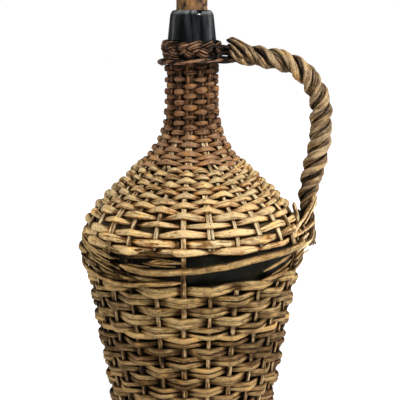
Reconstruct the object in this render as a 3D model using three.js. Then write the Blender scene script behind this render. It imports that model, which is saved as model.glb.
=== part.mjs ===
// A wicker demijohn: a five litre glass bottle with a cork, cased in woven willow,
// with a twisted rope handle from its neck to its shoulder.
// Millimetres, +Z up. The bottle's axis is the Z axis, the floor is z = 0,
// the handle is at +X and the front of the bottle looks along -Y.

import * as THREE from "three";

// Glass bottle: the wall runs from the floor to the shoulder corner, in along the cone to the
// neck corner, and up the neck to the lip. Both corners are rounded.
const FLOOR_RADIUS = 66;
const SHOULDER_RADIUS = 103.5;
const BODY_HEIGHT = 213;
const SHOULDER_FILLET = 49;
const CONE_HEIGHT = 80;
const NECK_RADIUS = 18;
const NECK_FILLET = 82;
const NECK_HEIGHT = 95;
const GLASS_WALL = 3.2;
const HEEL_FILLET = 14;
const PUNT_RADIUS = 46;
const PUNT_HEIGHT = 15;
const LIP_HEIGHT = 32;
const LIP_FOOT_RADIUS = 23.8;
const LIP_TOP_RADIUS = 20.6;
const LIP_ROUND = 4;
const LIP_ROUND_FROM = THREE.MathUtils.degToRad(8);

// Cork stopper: it narrows from the rim of the mouth down to its inner end.
const CORK_RIM_RADIUS = 15.1;
const CORK_END_RADIUS = 14.2;
const CORK_LENGTH = 44;
const CORK_PROUD = 16;
const CORK_CHAMFER = 1.4;
const CORK_CLEARANCE = 0.25;

// Willow: uprights stand round the bottle, and weavers pass in front of one and behind the next.
// An odd number of uprights makes a single spiralling weaver change sides on every turn.
const UPRIGHT_COUNT = 25;
const FRONT_UPRIGHT = 12;
const FRONT_ANGLE = THREE.MathUtils.degToRad(-94.5);
const UPRIGHT_BUTT = 4.4;
const UPRIGHT_TIP = 3;
const UPRIGHT_FOOT = 3;
const WEAVER_BUTT = 3.2;
const WEAVER_TIP = 2.4;
const CLEARANCE = 0.35;
const ROW_GAP = 0.5;

// Woven zones, measured along the bottle's wall.
const BODY_ROW_PITCH = 10.8;
const CANES_PER_BODY_ROW = 2;
const DOME_ROW_PITCH = 5.2;
const NECK_ROW_PITCH = 5.5;
const BAND_BELOW_SHOULDER = 10;
const BAND_ABOVE_SHOULDER = 18;

// Shoulder hoops: plain canes round the outside of the uprights, between body and dome.
const HOOP_COUNT = 2;
const HOOP_THICKNESS = 4.4;
const HOOP_WIDTH = 6;

// Woven base: sticks laid in a cross and opened out into spokes, with two chasing weavers.
const BASE_STICKS_EACH_WAY = 3;
const BASE_STICK = 4.4;
const BASE_WEAVER = 2.2;
const BASE_CROSS_HALF = 11;
const BASE_ROW_PITCH = 6;
const FOOT_WALE_HEIGHT = 10;
const FOOT_WALE_THICKNESS = 6;

// Collar: a cane wound round the neck under the lip. A separate hoop hangs below and outside it,
// at an angle down from the level.
const COLLAR_CANE = 6.5;
const COLLAR_TURNS = 1.6;
const COLLAR_OVERLAP = 3;
const NECK_HOOP_CANE = 5.5;
const NECK_HOOP_ANGLE = THREE.MathUtils.degToRad(60);

// Handle: three strands twisted into a rope that tapers where it lies on the shoulder.
const HANDLE_STRANDS = 3;
const HANDLE_RADIUS = 10;
const HANDLE_FOOT_RADIUS = 5.4;
const HANDLE_FOOT_LENGTH = 48;
const HANDLE_LAY = 46;
const HANDLE_BOW = 14.5;
const HANDLE_DROP = 14;
const HANDLE_RISE = 8.5;
const HANDLE_WAIST = 1.5;
const HANDLE_TOP_FILLET = 52;
const HANDLE_SIDE_FILLET = 90;
const HANDLE_FOOT_FILLET = 60;

// A strand fills its third of the rope: a flat crown, and sides that fall back to the groove.
const STRAND_CROWN = 0.4;
const STRAND_EDGE = 0.92;
const STRAND_EDGE_REACH = 0.74;

// Facets
const GLASS_SEGMENTS = 25;
const CORK_SEGMENTS = 20;
const LIP_STEPS = 4;
const WALL_ARC_STEP = THREE.MathUtils.degToRad(10);
const PLAIN_ARC_STEP = THREE.MathUtils.degToRad(20);
const CONE_STEP = 16;
const ROUND_SIDES = 6;
const LOOP_STEPS = 24;
const STRAND_STEPS_PER_TURN = 7;

// Heights that follow from the sizes above.
const NECK_CORNER_Z = BODY_HEIGHT + CONE_HEIGHT;
const LIP_FOOT_Z = NECK_CORNER_Z + NECK_HEIGHT;
const RIM_Z = LIP_FOOT_Z + LIP_HEIGHT;
const BASE_LIFT = (BASE_STICK + BASE_WEAVER) / 2 + CLEARANCE;
const BASE_PLANE_Z = BASE_LIFT + BASE_WEAVER / 2 + CLEARANCE;
const BOTTLE_FOOT_Z = 2 * BASE_PLANE_Z;
const NECK_COLUMNS = Math.ceil(UPRIGHT_COUNT / 2);

const MATERIALS = {
  glass: new THREE.MeshStandardMaterial({ color: 0x0d110d, roughness: 0.08, metalness: 0 }),
  cork: new THREE.MeshStandardMaterial({ color: 0x9a7143, roughness: 0.9, metalness: 0 }),
  upright: new THREE.MeshStandardMaterial({ color: 0xb09262, roughness: 0.65, metalness: 0 }),
  body: new THREE.MeshStandardMaterial({ color: 0x8a6d45, roughness: 0.65, metalness: 0 }),
  dome: new THREE.MeshStandardMaterial({ color: 0xc39d66, roughness: 0.6, metalness: 0 }),
  neck: new THREE.MeshStandardMaterial({ color: 0x6b4a2d, roughness: 0.6, metalness: 0 }),
  collar: new THREE.MeshStandardMaterial({ color: 0x4a3222, roughness: 0.55, metalness: 0 }),
  handle: new THREE.MeshStandardMaterial({ color: 0x806a4b, roughness: 0.65, metalness: 0 }),
};

const lerp = THREE.MathUtils.lerp;

// A flat outline of straight runs with rounded corners, walked by its length.
// Corners are [u, v, fillet]. The normal points to the right of the direction of travel.
class Outline {
  constructor(corners) {
    this.runs = [];
    this.length = 0;
    let from = new THREE.Vector2(corners[0][0], corners[0][1]);
    for (let i = 1; i < corners.length; i++) {
      const corner = new THREE.Vector2(corners[i][0], corners[i][1]);
      const ahead = corner.clone().sub(from).normalize();
      if (i === corners.length - 1) {
        this.addLine(from, ahead, from.distanceTo(corner));
        break;
      }
      const next = new THREE.Vector2(corners[i + 1][0], corners[i + 1][1]).sub(corner).normalize();
      const turn = Math.atan2(ahead.cross(next), ahead.dot(next));
      const tangent = corners[i][2] * Math.tan(Math.abs(turn) / 2);
      const start = corner.clone().addScaledVector(ahead, -tangent);
      this.addLine(from, ahead, from.distanceTo(start));
      this.addArc(start, ahead, corners[i][2], turn);
      from = corner.clone().addScaledVector(next, tangent);
    }
  }

  addLine(start, ahead, length) {
    this.runs.push({ start, ahead, length, begin: this.length, turn: 0 });
    this.length += length;
  }

  addArc(start, ahead, radius, turn) {
    const length = radius * Math.abs(turn);
    this.runs.push({ start, ahead, length, begin: this.length, turn, radius });
    this.length += length;
  }

  // The point, direction and right-hand normal at a length along the outline.
  at(distance) {
    const run = this.runs.findLast((r) => r.begin <= distance) ?? this.runs[0];
    const along = distance - run.begin;
    const angle = run.turn === 0 ? 0 : (along / run.length) * run.turn;
    const ahead = run.ahead.clone().rotateAround(new THREE.Vector2(), angle);
    const point = run.start.clone();
    if (run.turn === 0) {
      point.addScaledVector(run.ahead, along);
    } else {
      const centre = run.start.clone().addScaledVector(
        new THREE.Vector2(-run.ahead.y, run.ahead.x), Math.sign(run.turn) * run.radius);
      point.rotateAround(centre, angle);
    }
    return { point, ahead, normal: new THREE.Vector2(ahead.y, -ahead.x) };
  }

  // Lengths at which a smooth copy of the outline needs a point, with long runs cut if asked.
  stops(from, to, arcStep, longest = Infinity) {
    const found = [from];
    for (const run of this.runs) {
      const steps = Math.max(1, Math.round(Math.abs(run.turn) / arcStep), Math.ceil(run.length / longest));
      for (let i = 0; i < steps; i++) {
        const stop = run.begin + (run.length * i) / steps;
        if (stop > from + 1 && stop < to - 1) found.push(stop);
      }
    }
    return [...found, to];
  }
}

// The wall of the glass from the floor to the foot of the lip, as radius and height.
const wall = new Outline([
  [FLOOR_RADIUS, 0, 0],
  [SHOULDER_RADIUS, BODY_HEIGHT, SHOULDER_FILLET],
  [NECK_RADIUS, NECK_CORNER_Z, NECK_FILLET],
  [NECK_RADIUS, LIP_FOOT_Z, 0],
]);
const SHOULDER_START = wall.runs[1].begin;
const CONE_END = wall.runs[3].begin;

// Sizes of the willow along the wall: rods taper from butt to tip.
const uprightThickness = (s) => lerp(UPRIGHT_BUTT, UPRIGHT_TIP, s / wall.length);
const weaverThickness = (s) => lerp(WEAVER_BUTT, WEAVER_TIP, s / wall.length);
const crossing = (s) => (uprightThickness(s) + weaverThickness(s)) / 2 + CLEARANCE;
const uprightOffset = (s) => CLEARANCE + weaverThickness(s) / 2 + crossing(s);

// Where the zones of the weave begin and end along the wall.
const lengthAtHeight = (z) => z / wall.runs[0].ahead.y;
const lengthOnNeck = (z) => wall.length - (LIP_FOOT_Z - z);
const COLLAR_PITCH = COLLAR_CANE + ROW_GAP;
const COLLAR_FOOT_Z = LIP_FOOT_Z + COLLAR_OVERLAP - COLLAR_TURNS * COLLAR_PITCH - COLLAR_CANE / 2;
const COLLAR_FLAT = (COLLAR_CANE / 2) * Math.cos(Math.PI / ROUND_SIDES);
const NECK_HOOP_REACH = COLLAR_FLAT + NECK_HOOP_CANE / 2 + CLEARANCE;
const NECK_HOOP_Z = COLLAR_FOOT_Z - NECK_HOOP_REACH * Math.sin(NECK_HOOP_ANGLE);
const BAND = [SHOULDER_START - BAND_BELOW_SHOULDER, SHOULDER_START + BAND_ABOVE_SHOULDER];
const BODY_WEAVE = [lengthAtHeight(FOOT_WALE_HEIGHT) + BODY_ROW_PITCH / 2, BAND[0] - BODY_ROW_PITCH];
const DOME_WEAVE = [BAND[1] + DOME_ROW_PITCH / 2, CONE_END - NECK_ROW_PITCH];
const NECK_WEAVE = [
  CONE_END + NECK_ROW_PITCH / 2,
  lengthOnNeck(NECK_HOOP_Z - NECK_HOOP_CANE / 2) - NECK_ROW_PITCH / 2,
];

// The angle of an upright. On the dome the uprights close up, so that every other one meets a
// column of the neck, where only those go on.
function uprightAngle(index, s) {
  const share = THREE.MathUtils.smoothstep(s, DOME_WEAVE[0], DOME_WEAVE[1]);
  const around = lerp(UPRIGHT_COUNT, 2 * NECK_COLUMNS, share);
  return FRONT_ANGLE + (2 * Math.PI * (index - FRONT_UPRIGHT)) / around;
}

// Axes at a place on the wall: outward normal, direction up the wall, and direction round it.
function wallFrame(s, angle) {
  const { point, ahead, normal } = wall.at(s);
  const out = new THREE.Vector3(Math.cos(angle), Math.sin(angle), 0);
  const inPlane = (v) => out.clone().multiplyScalar(v.x).setZ(v.y);
  return {
    origin: inPlane(point),
    normal: inPlane(normal),
    up: inPlane(ahead),
    round: new THREE.Vector3(-out.y, out.x, 0),
  };
}

// A four-cornered section about a point, with its corners on the two given axes.
function diamond(centre, across, acrossSize, along, alongSize) {
  const corner = (axis, size) => centre.clone().addScaledVector(axis, size);
  return [
    corner(across, acrossSize / 2),
    corner(along, alongSize / 2),
    corner(across, -acrossSize / 2),
    corner(along, -alongSize / 2),
  ];
}

// A regular section about a point.
function roundSection(centre, across, along, radius, sides = ROUND_SIDES) {
  return Array.from({ length: sides }, (_, i) => {
    const angle = (2 * Math.PI * i) / sides;
    return centre.clone()
      .addScaledVector(across, radius * Math.cos(angle))
      .addScaledVector(along, radius * Math.sin(angle));
  });
}

// A closed solid through a row of sections that wind anticlockwise round the direction of travel.
function loft(sections) {
  const sides = sections[0].length;
  const last = (sections.length - 1) * sides;
  const index = [];
  for (let a = 0; a < last; a += sides) {
    for (let j = 0; j < sides; j++) {
      const k = (j + 1) % sides;
      index.push(a + j, a + k, a + sides + k, a + j, a + sides + k, a + sides + j);
    }
  }
  for (let j = 1; j < sides - 1; j++) {
    index.push(0, j + 1, j, last, last + j, last + j + 1);
  }
  const geometry = new THREE.BufferGeometry().setFromPoints(sections.flat());
  geometry.setIndex(index);
  geometry.computeVertexNormals();
  return geometry;
}

// The least distance between corners of sections that lie at least a number of steps apart.
function leastGap(sections, apart) {
  let least = Infinity;
  for (let i = 0; i < sections.length; i++) {
    for (const other of sections.slice(i + apart).flat()) {
      least = Math.min(least, ...sections[i].map((p) => p.distanceTo(other)));
    }
  }
  return least;
}

// A solid of revolution about Z from an outline of [radius, height] points.
function turned(points, segments, startAngle = 0) {
  const outline = points.map(([r, z]) => new THREE.Vector2(r, z));
  return new THREE.LatheGeometry(outline, segments, startAngle + Math.PI / 2).rotateX(Math.PI / 2);
}

// Points of a round stretch between two angles, as [radius, height].
function arcPoints(centreR, centreZ, radius, from, to, steps) {
  return Array.from({ length: steps + 1 }, (_, i) => {
    const angle = lerp(from, to, i / steps);
    return [centreR + radius * Math.cos(angle), centreZ + radius * Math.sin(angle)];
  });
}

const demijohn = new THREE.Group();

function addPiece(name, geometry, material) {
  const mesh = new THREE.Mesh(geometry, material);
  mesh.name = name;
  demijohn.add(mesh);
}

// The radius of the cork at a height, with its taper between the rim and its inner end.
const corkEndZ = RIM_Z + CORK_PROUD - CORK_LENGTH;
const corkRadius = (z) => lerp(CORK_END_RADIUS, CORK_RIM_RADIUS, (z - corkEndZ) / (RIM_Z - corkEndZ));

// One surface of the bottle's foot and wall, from the axis up to the foot of the lip.
function bottleSkin(inset, arcStep) {
  const foot = BOTTLE_FOOT_Z + inset;
  const heel = new Outline([
    [0, foot + PUNT_HEIGHT, 0],
    [PUNT_RADIUS / 2, foot + PUNT_HEIGHT, PUNT_RADIUS / 2],
    [PUNT_RADIUS, foot, HEEL_FILLET],
    [wall.at(lengthAtHeight(foot)).point.x - inset, foot, HEEL_FILLET - inset],
    [wall.at(SHOULDER_START).point.x - inset, wall.at(SHOULDER_START).point.y, 0],
  ]);
  const bottom = heel.stops(0, heel.length, PLAIN_ARC_STEP).map((s) => heel.at(s).point);
  const above = wall.stops(SHOULDER_START, wall.length, arcStep).slice(1).map((s) => {
    const { point, normal } = wall.at(s);
    return point.addScaledVector(normal, -inset);
  });
  return [...bottom, ...above].map((p) => [p.x, p.y]);
}

function glassBottle() {
  const lipCentre = [LIP_TOP_RADIUS - LIP_ROUND, RIM_Z - LIP_ROUND];
  const lipTop = arcPoints(...lipCentre, LIP_ROUND, LIP_ROUND_FROM, Math.PI / 2, LIP_STEPS);
  const mouth = [
    [CORK_RIM_RADIUS + CORK_CLEARANCE, RIM_Z],
    [CORK_END_RADIUS + CORK_CLEARANCE, corkEndZ],
  ];
  const outside = bottleSkin(0, WALL_ARC_STEP);
  const inside = bottleSkin(GLASS_WALL, PLAIN_ARC_STEP).filter(([, z]) => z < corkEndZ - 1).reverse();
  const lip = [[LIP_FOOT_RADIUS, LIP_FOOT_Z], ...lipTop];
  return turned([...outside, ...lip, ...mouth, ...inside], GLASS_SEGMENTS);
}

function cork() {
  const top = RIM_Z + CORK_PROUD;
  return turned([
    [0, corkEndZ],
    [corkRadius(corkEndZ) - CORK_CHAMFER, corkEndZ],
    [corkRadius(corkEndZ + CORK_CHAMFER), corkEndZ + CORK_CHAMFER],
    [CORK_RIM_RADIUS, RIM_Z],
    [CORK_RIM_RADIUS, top - CORK_CHAMFER],
    [CORK_RIM_RADIUS - CORK_CHAMFER, top],
    [0, top],
  ], CORK_SEGMENTS);
}

// One upright, from just above the floor to a length along the wall.
function upright(index, end) {
  const stops = [
    ...wall.stops(UPRIGHT_FOOT, DOME_WEAVE[0], WALL_ARC_STEP),
    ...wall.stops(DOME_WEAVE[0], Math.min(end, CONE_END), WALL_ARC_STEP, CONE_STEP).slice(1),
    ...(end > CONE_END ? wall.stops(CONE_END, end, WALL_ARC_STEP).slice(1) : []),
  ];
  const sections = stops.map((s) => {
    const { origin, normal, round } = wallFrame(s, uprightAngle(index, s));
    const centre = origin.addScaledVector(normal, uprightOffset(s));
    return diamond(centre, normal, uprightThickness(s), round, uprightThickness(s));
  });
  return loft(sections);
}

// A weaver that spirals up the wall, in front of one upright and behind the next.
// Every step passes that many uprights; the cane is as wide as its share of the row.
function weaver([from, to], pitch, columns, step, caneShare, caneAt) {
  const width = pitch * caneShare - ROW_GAP;
  const count = Math.floor(((to - from) / pitch) * columns);
  const sections = [];
  for (let i = 0; i <= count; i++) {
    const s = from + (pitch * i) / columns + caneAt * pitch * caneShare;
    const side = i % 2 === 0 ? 1 : -1;
    const turn = Math.floor(i / columns);
    const angle = uprightAngle((i - turn * columns) * step, s) + 2 * Math.PI * turn;
    const { origin, normal, up } = wallFrame(s, angle);
    const centre = origin.addScaledVector(normal, uprightOffset(s) + side * crossing(s));
    sections.push(diamond(centre, normal, weaverThickness(s), up.negate(), width));
  }
  return loft(sections);
}

// The middle of a hoop's section at a length along the wall.
function hoopCentre(s) {
  const { point, normal } = wall.at(s);
  const uprightFace = uprightOffset(s) + uprightThickness(s) / 2;
  return point.addScaledVector(normal, uprightFace + CLEARANCE + HOOP_THICKNESS / 2);
}
const hoopLength = (index) => lerp(BAND[0], BAND[1], (index + 1) / (HOOP_COUNT + 1));

// A cane ring round the outside of the uprights at a length along the wall.
function shoulderHoop(s) {
  const { ahead, normal } = wall.at(s);
  const centre = hoopCentre(s);
  const corner = (axis, size) => {
    const p = centre.clone().addScaledVector(axis, size);
    return [p.x, p.y];
  };
  const first = corner(normal, -HOOP_THICKNESS / 2);
  return turned([
    first,
    corner(ahead, -HOOP_WIDTH / 2),
    corner(normal, HOOP_THICKNESS / 2),
    corner(ahead, HOOP_WIDTH / 2),
    first,
  ], UPRIGHT_COUNT, FRONT_ANGLE);
}

// The wale round the feet of the uprights, on which the demijohn stands.
function footWale() {
  const inner = (z) => {
    const s = lengthAtHeight(z);
    const { point, normal } = wall.at(s);
    return point.addScaledVector(normal, uprightOffset(s) + uprightThickness(s) / 2 + CLEARANCE).x;
  };
  const top = FOOT_WALE_HEIGHT;
  const bulge = inner(top) + FOOT_WALE_THICKNESS;
  return turned([
    [inner(0), 0],
    [inner(0) + FOOT_WALE_THICKNESS, 0],
    [bulge, top / 2],
    [inner(top) + FOOT_WALE_THICKNESS / 2, top],
    [inner(top), top],
    [inner(0), 0],
  ], UPRIGHT_COUNT, FRONT_ANGLE);
}

// The radius at which the base ends, just inside the feet of the uprights.
const baseRadius = (() => {
  const s = lengthAtHeight(UPRIGHT_FOOT);
  const inner = wall.at(s).point.x + uprightOffset(s) - uprightThickness(s) / 2;
  return inner - CLEARANCE;
})();
const spokeCount = 4 * BASE_STICKS_EACH_WAY;

// A base stick: straight where it crosses the others, then opened out to its two spokes.
// Sticks of the lower layer lie flat on the floor at the cross and rise to the spokes' level,
// where they stand on edge.
function baseStick(layer, place) {
  const half = (BASE_STICKS_EACH_WAY - 1) / 2;
  const aside = (place - half) * (BASE_STICK + ROW_GAP);
  const fan = ((place - half) * 2 * Math.PI) / spokeCount;
  const crossZ = BASE_STICK / 2 + layer * (BASE_STICK + CLEARANCE);
  const spokeStart = 2 * BASE_CROSS_HALF;
  const rightSide = [
    [BASE_CROSS_HALF, aside, crossZ],
    [spokeStart * Math.cos(fan), spokeStart * Math.sin(fan), BASE_PLANE_Z],
    [baseRadius * Math.cos(fan), baseRadius * Math.sin(fan), BASE_PLANE_Z],
  ].map((p) => new THREE.Vector3(...p));
  const leftSide = rightSide.map((p) => new THREE.Vector3(-p.x, p.y, p.z)).reverse();
  const up = new THREE.Vector3(0, 0, 1);
  const path = [...leftSide, ...rightSide];
  const sections = path.map((p, i) => {
    const ahead = path[Math.min(i + 1, path.length - 1)].clone().sub(path[Math.max(i - 1, 0)]).setZ(0);
    const left = up.clone().cross(ahead).normalize();
    const isSpoke = p.z === BASE_PLANE_Z;
    const across = isSpoke ? up : up.clone().add(left);
    return diamond(p, across, BASE_STICK, isSpoke ? left.negate() : up.clone().sub(left), BASE_STICK);
  });
  const geometry = loft(sections);
  return layer === 0 ? geometry : geometry.rotateZ(Math.PI / 2);
}

// One of the two weavers of the base. They chase each other, so that rows change sides.
function baseWeaver(which) {
  const start = 2 * BASE_CROSS_HALF + BASE_ROW_PITCH * (1 + which);
  const width = BASE_ROW_PITCH - ROW_GAP;
  const end = baseRadius - width / 2;
  const count = Math.floor(((end - start) / (2 * BASE_ROW_PITCH)) * spokeCount);
  const up = new THREE.Vector3(0, 0, 1);
  const sections = [];
  for (let i = 0; i <= count; i++) {
    const radius = start + (2 * BASE_ROW_PITCH * i) / spokeCount;
    const angle = (2 * Math.PI * i) / spokeCount;
    const side = (i + which) % 2 === 0 ? 1 : -1;
    const out = new THREE.Vector3(Math.cos(angle), Math.sin(angle), 0);
    const centre = out.clone().multiplyScalar(radius).setZ(BASE_PLANE_Z + side * BASE_LIFT);
    sections.push(diamond(centre, up, BASE_WEAVER, out, width));
  }
  return loft(sections);
}

// The cane wound round the neck over the tops of the uprights.
function collarRadius() {
  const s = wall.length;
  const overUprights = NECK_RADIUS + uprightOffset(s) + uprightThickness(s) / 2;
  return Math.max(overUprights, LIP_FOOT_RADIUS) + CLEARANCE + COLLAR_CANE / 2;
}

function collarWinding() {
  const radius = collarRadius();
  const count = Math.round(COLLAR_TURNS * LOOP_STEPS);
  const up = new THREE.Vector3(0, 0, 1);
  const sections = [];
  for (let i = 0; i <= count; i++) {
    const angle = (2 * Math.PI * i) / LOOP_STEPS;
    const z = COLLAR_FOOT_Z + (COLLAR_PITCH * i) / LOOP_STEPS;
    const out = new THREE.Vector3(Math.cos(angle), Math.sin(angle), 0);
    const centre = out.clone().multiplyScalar(radius).setZ(z);
    sections.push(roundSection(centre, up, out, COLLAR_CANE / 2));
  }
  console.log(`collar_winding: least gap to itself ${leastGap(sections, LOOP_STEPS / 2).toFixed(2)} mm`);
  return loft(sections);
}

// The loose hoop below the collar.
const neckHoopRadius = collarRadius() + NECK_HOOP_REACH * Math.cos(NECK_HOOP_ANGLE);
function neckHoop() {
  const ring = arcPoints(neckHoopRadius, NECK_HOOP_Z, NECK_HOOP_CANE / 2, 0, 2 * Math.PI, ROUND_SIDES);
  return turned(ring, LOOP_STEPS);
}

// The line of the handle in the XZ plane: out from the collar, down, in to its waist and onto
// the shoulder, where its foot lies on the outside of the weave and hoops.
const shoulderReach = hoopCentre(hoopLength(HOOP_COUNT - 1)).x + HOOP_THICKNESS / 2;
const handleReach = shoulderReach + HANDLE_BOW;
const handleTilt = HANDLE_DROP / (handleReach - neckHoopRadius);
const handleStartX = neckHoopRadius + NECK_HOOP_CANE / 2 + CLEARANCE + HANDLE_RADIUS * handleTilt;
const handleTopZ = NECK_HOOP_Z + HANDLE_RISE;
const handleFootX = shoulderReach + CLEARANCE + HANDLE_FOOT_RADIUS;
const handleLine = new Outline([
  [handleStartX, handleTopZ, 0],
  [handleReach, handleTopZ - HANDLE_DROP, HANDLE_TOP_FILLET],
  [handleReach, NECK_CORNER_Z, HANDLE_SIDE_FILLET],
  [shoulderReach + HANDLE_WAIST, BODY_HEIGHT + HANDLE_FOOT_LENGTH / 2, HANDLE_FOOT_FILLET],
  [handleFootX, BODY_HEIGHT - HANDLE_FOOT_LENGTH / 2, 0],
]);

// The rope's radius along the handle: full, then tapering over its foot.
function handleRadius(s) {
  const foot = handleLine.length - HANDLE_FOOT_LENGTH / 2;
  const share = THREE.MathUtils.smoothstep(s, foot - HANDLE_FOOT_LENGTH, foot);
  return lerp(HANDLE_RADIUS, HANDLE_FOOT_RADIUS, share);
}

// One strand of the rope: a rounded third of its section, turning as it goes.
function handleStrand(which) {
  const half = Math.PI / HANDLE_STRANDS;
  const count = Math.round((handleLine.length / HANDLE_LAY) * STRAND_STEPS_PER_TURN);
  const sections = [];
  for (let i = 0; i <= count; i++) {
    const s = (handleLine.length * i) / count;
    const { point, normal } = handleLine.at(s);
    const radius = handleRadius(s);
    const middle = (2 * Math.PI * s) / HANDLE_LAY + 2 * half * which;
    const across = new THREE.Vector3(normal.x, 0, normal.y);
    const side = new THREE.Vector3(0, 1, 0);
    const at = (angle, reach) => new THREE.Vector3(point.x, 0, point.y)
      .addScaledVector(across, reach * Math.cos(angle))
      .addScaledVector(side, reach * Math.sin(angle));
    sections.push([
      at(middle, CLEARANCE),
      at(middle - STRAND_EDGE * half, STRAND_EDGE_REACH * radius),
      at(middle - STRAND_CROWN * half, radius),
      at(middle + STRAND_CROWN * half, radius),
      at(middle + STRAND_EDGE * half, STRAND_EDGE_REACH * radius),
    ]);
  }
  return loft(sections);
}

const numbered = (name, index) => `${name}_${String(index + 1).padStart(2, "0")}`;

addPiece("glass_bottle", glassBottle(), MATERIALS.glass);
addPiece("cork", cork(), MATERIALS.cork);

const longEnd = lengthOnNeck(LIP_FOOT_Z - CLEARANCE);
const shortEnd = CONE_END - NECK_ROW_PITCH / 2;
for (let i = 0; i < UPRIGHT_COUNT; i++) {
  addPiece(numbered("upright", i), upright(i, i % 2 === 0 ? longEnd : shortEnd), MATERIALS.upright);
}
for (let layer = 0; layer < 2; layer++) {
  for (let place = 0; place < BASE_STICKS_EACH_WAY; place++) {
    const index = layer * BASE_STICKS_EACH_WAY + place;
    addPiece(numbered("base_stick", index), baseStick(layer, place), MATERIALS.upright);
  }
}
for (let which = 0; which < 2; which++) {
  addPiece(numbered("base_weaver", which), baseWeaver(which), MATERIALS.body);
}
addPiece("foot_wale", footWale(), MATERIALS.body);
for (let cane = 0; cane < CANES_PER_BODY_ROW; cane++) {
  const geometry = weaver(BODY_WEAVE, BODY_ROW_PITCH, UPRIGHT_COUNT, 1, 1 / CANES_PER_BODY_ROW, cane);
  addPiece(numbered("body_weaver", cane), geometry, MATERIALS.body);
}
for (let i = 0; i < HOOP_COUNT; i++) {
  addPiece(numbered("shoulder_hoop", i), shoulderHoop(hoopLength(i)), MATERIALS.body);
}
addPiece("dome_weaver", weaver(DOME_WEAVE, DOME_ROW_PITCH, UPRIGHT_COUNT, 1, 1, 0), MATERIALS.dome);
addPiece("neck_weaver", weaver(NECK_WEAVE, NECK_ROW_PITCH, NECK_COLUMNS, 2, 1, 0), MATERIALS.neck);
addPiece("collar_winding", collarWinding(), MATERIALS.collar);
addPiece("neck_hoop", neckHoop(), MATERIALS.collar);
for (let i = 0; i < HANDLE_STRANDS; i++) {
  addPiece(numbered("handle_strand", i), handleStrand(i), MATERIALS.handle);
}

export default demijohn;
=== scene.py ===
"""A wicker demijohn: a dark glass bottle with a cork, cased in woven willow, with a twisted handle.

Metres, +Z up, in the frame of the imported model: the bottle's axis is Z, the floor is z = 0,
the handle is at +X and the photograph is taken from -Y.
"""

from __future__ import annotations

import logging
import math
from collections.abc import Mapping, Sequence
from dataclasses import dataclass, field
from enum import Enum
from typing import Any

import bpy
import numpy as np
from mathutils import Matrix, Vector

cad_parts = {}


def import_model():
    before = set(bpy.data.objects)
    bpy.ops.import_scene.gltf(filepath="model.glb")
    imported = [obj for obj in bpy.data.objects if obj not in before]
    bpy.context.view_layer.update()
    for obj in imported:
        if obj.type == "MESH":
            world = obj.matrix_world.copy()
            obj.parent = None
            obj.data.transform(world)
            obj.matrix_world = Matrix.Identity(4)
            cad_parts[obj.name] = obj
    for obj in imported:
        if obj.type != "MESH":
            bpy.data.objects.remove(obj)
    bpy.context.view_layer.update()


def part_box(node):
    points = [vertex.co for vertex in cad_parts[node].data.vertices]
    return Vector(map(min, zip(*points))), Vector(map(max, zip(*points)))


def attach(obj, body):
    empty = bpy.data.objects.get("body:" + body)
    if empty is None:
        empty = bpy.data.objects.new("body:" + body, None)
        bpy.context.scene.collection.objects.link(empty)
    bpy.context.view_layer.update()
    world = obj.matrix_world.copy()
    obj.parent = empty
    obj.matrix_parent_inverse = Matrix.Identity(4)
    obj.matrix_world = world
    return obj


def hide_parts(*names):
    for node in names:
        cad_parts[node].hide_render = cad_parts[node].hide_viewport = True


LOG = logging.getLogger("demijohn")
TAU = 2.0 * math.pi
UP = (0.0, 0.0, 1.0)
Colour = tuple[float, float, float]
Pair = tuple[float, float]
Spot = tuple[float, float, float]
Array = np.ndarray


class Body(Enum):
    """The rigid bodies that pieces ride on."""

    VESSEL = "vessel"
    CORK = "cork"


class Slot(Enum):
    """The record's material slots."""

    GLASS = "glass"
    CORK = "cork"
    UPRIGHT = "willow_upright"
    BODY = "willow_body"
    DOME = "willow_dome"
    NECK = "willow_neck"
    COLLAR = "willow_collar"
    HANDLE = "willow_handle"


def srgb(red: float, green: float, blue: float) -> Colour:
    """Turns a colour read on screen, 0 to 255, into linear light.

    Args:
        red: Red on screen.
        green: Green on screen.
        blue: Blue on screen.

    Returns:
        The colour in linear light.
    """
    shares = (red / 255.0, green / 255.0, blue / 255.0)
    return tuple(c / 12.92 if c <= 0.04045 else ((c + 0.055) / 1.055) ** 2.4 for c in shares)


def smooth(x: Array | float, low: float, high: float) -> Array:
    """Eases from 0 at low to 1 at high.

    Args:
        x: Values to ease.
        low: Where the rise starts.
        high: Where the rise ends.

    Returns:
        The eased values.
    """
    t = np.clip((np.asarray(x, float) - low) / (high - low), 0.0, 1.0)
    return t * t * (3.0 - 2.0 * t)


def hump(x: Array, rise: Pair, fall: Pair) -> Array:
    """Eases from 0 to 1 over one range and back to 0 over another.

    Args:
        x: Values to ease.
        rise: Where the rise starts and ends.
        fall: Where the fall starts and ends.

    Returns:
        The eased values.
    """
    return smooth(x, *rise) * (1.0 - smooth(x, *fall))


def between(ends: Sequence[Array | float], share: Array | float) -> Array | float:
    """The value at a share of the way from the first end to the second."""
    return ends[0] + (ends[1] - ends[0]) * share


def ripple(rng: np.random.Generator, at: Array, spacing: float) -> Array:
    """A smooth random line with a spread of about 1.

    Args:
        rng: Source of random numbers.
        at: Places along the line.
        spacing: Distance between its random knots.

    Returns:
        The height of the line at each place.
    """
    knots = (at - at.min()) / spacing
    heights = rng.normal(0.0, 1.0, int(knots.max()) + 3)
    low = knots.astype(int)
    share = smooth(knots - low, 0.0, 1.0)
    return heights[low] * (1.0 - share) + heights[low + 1] * share


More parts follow.
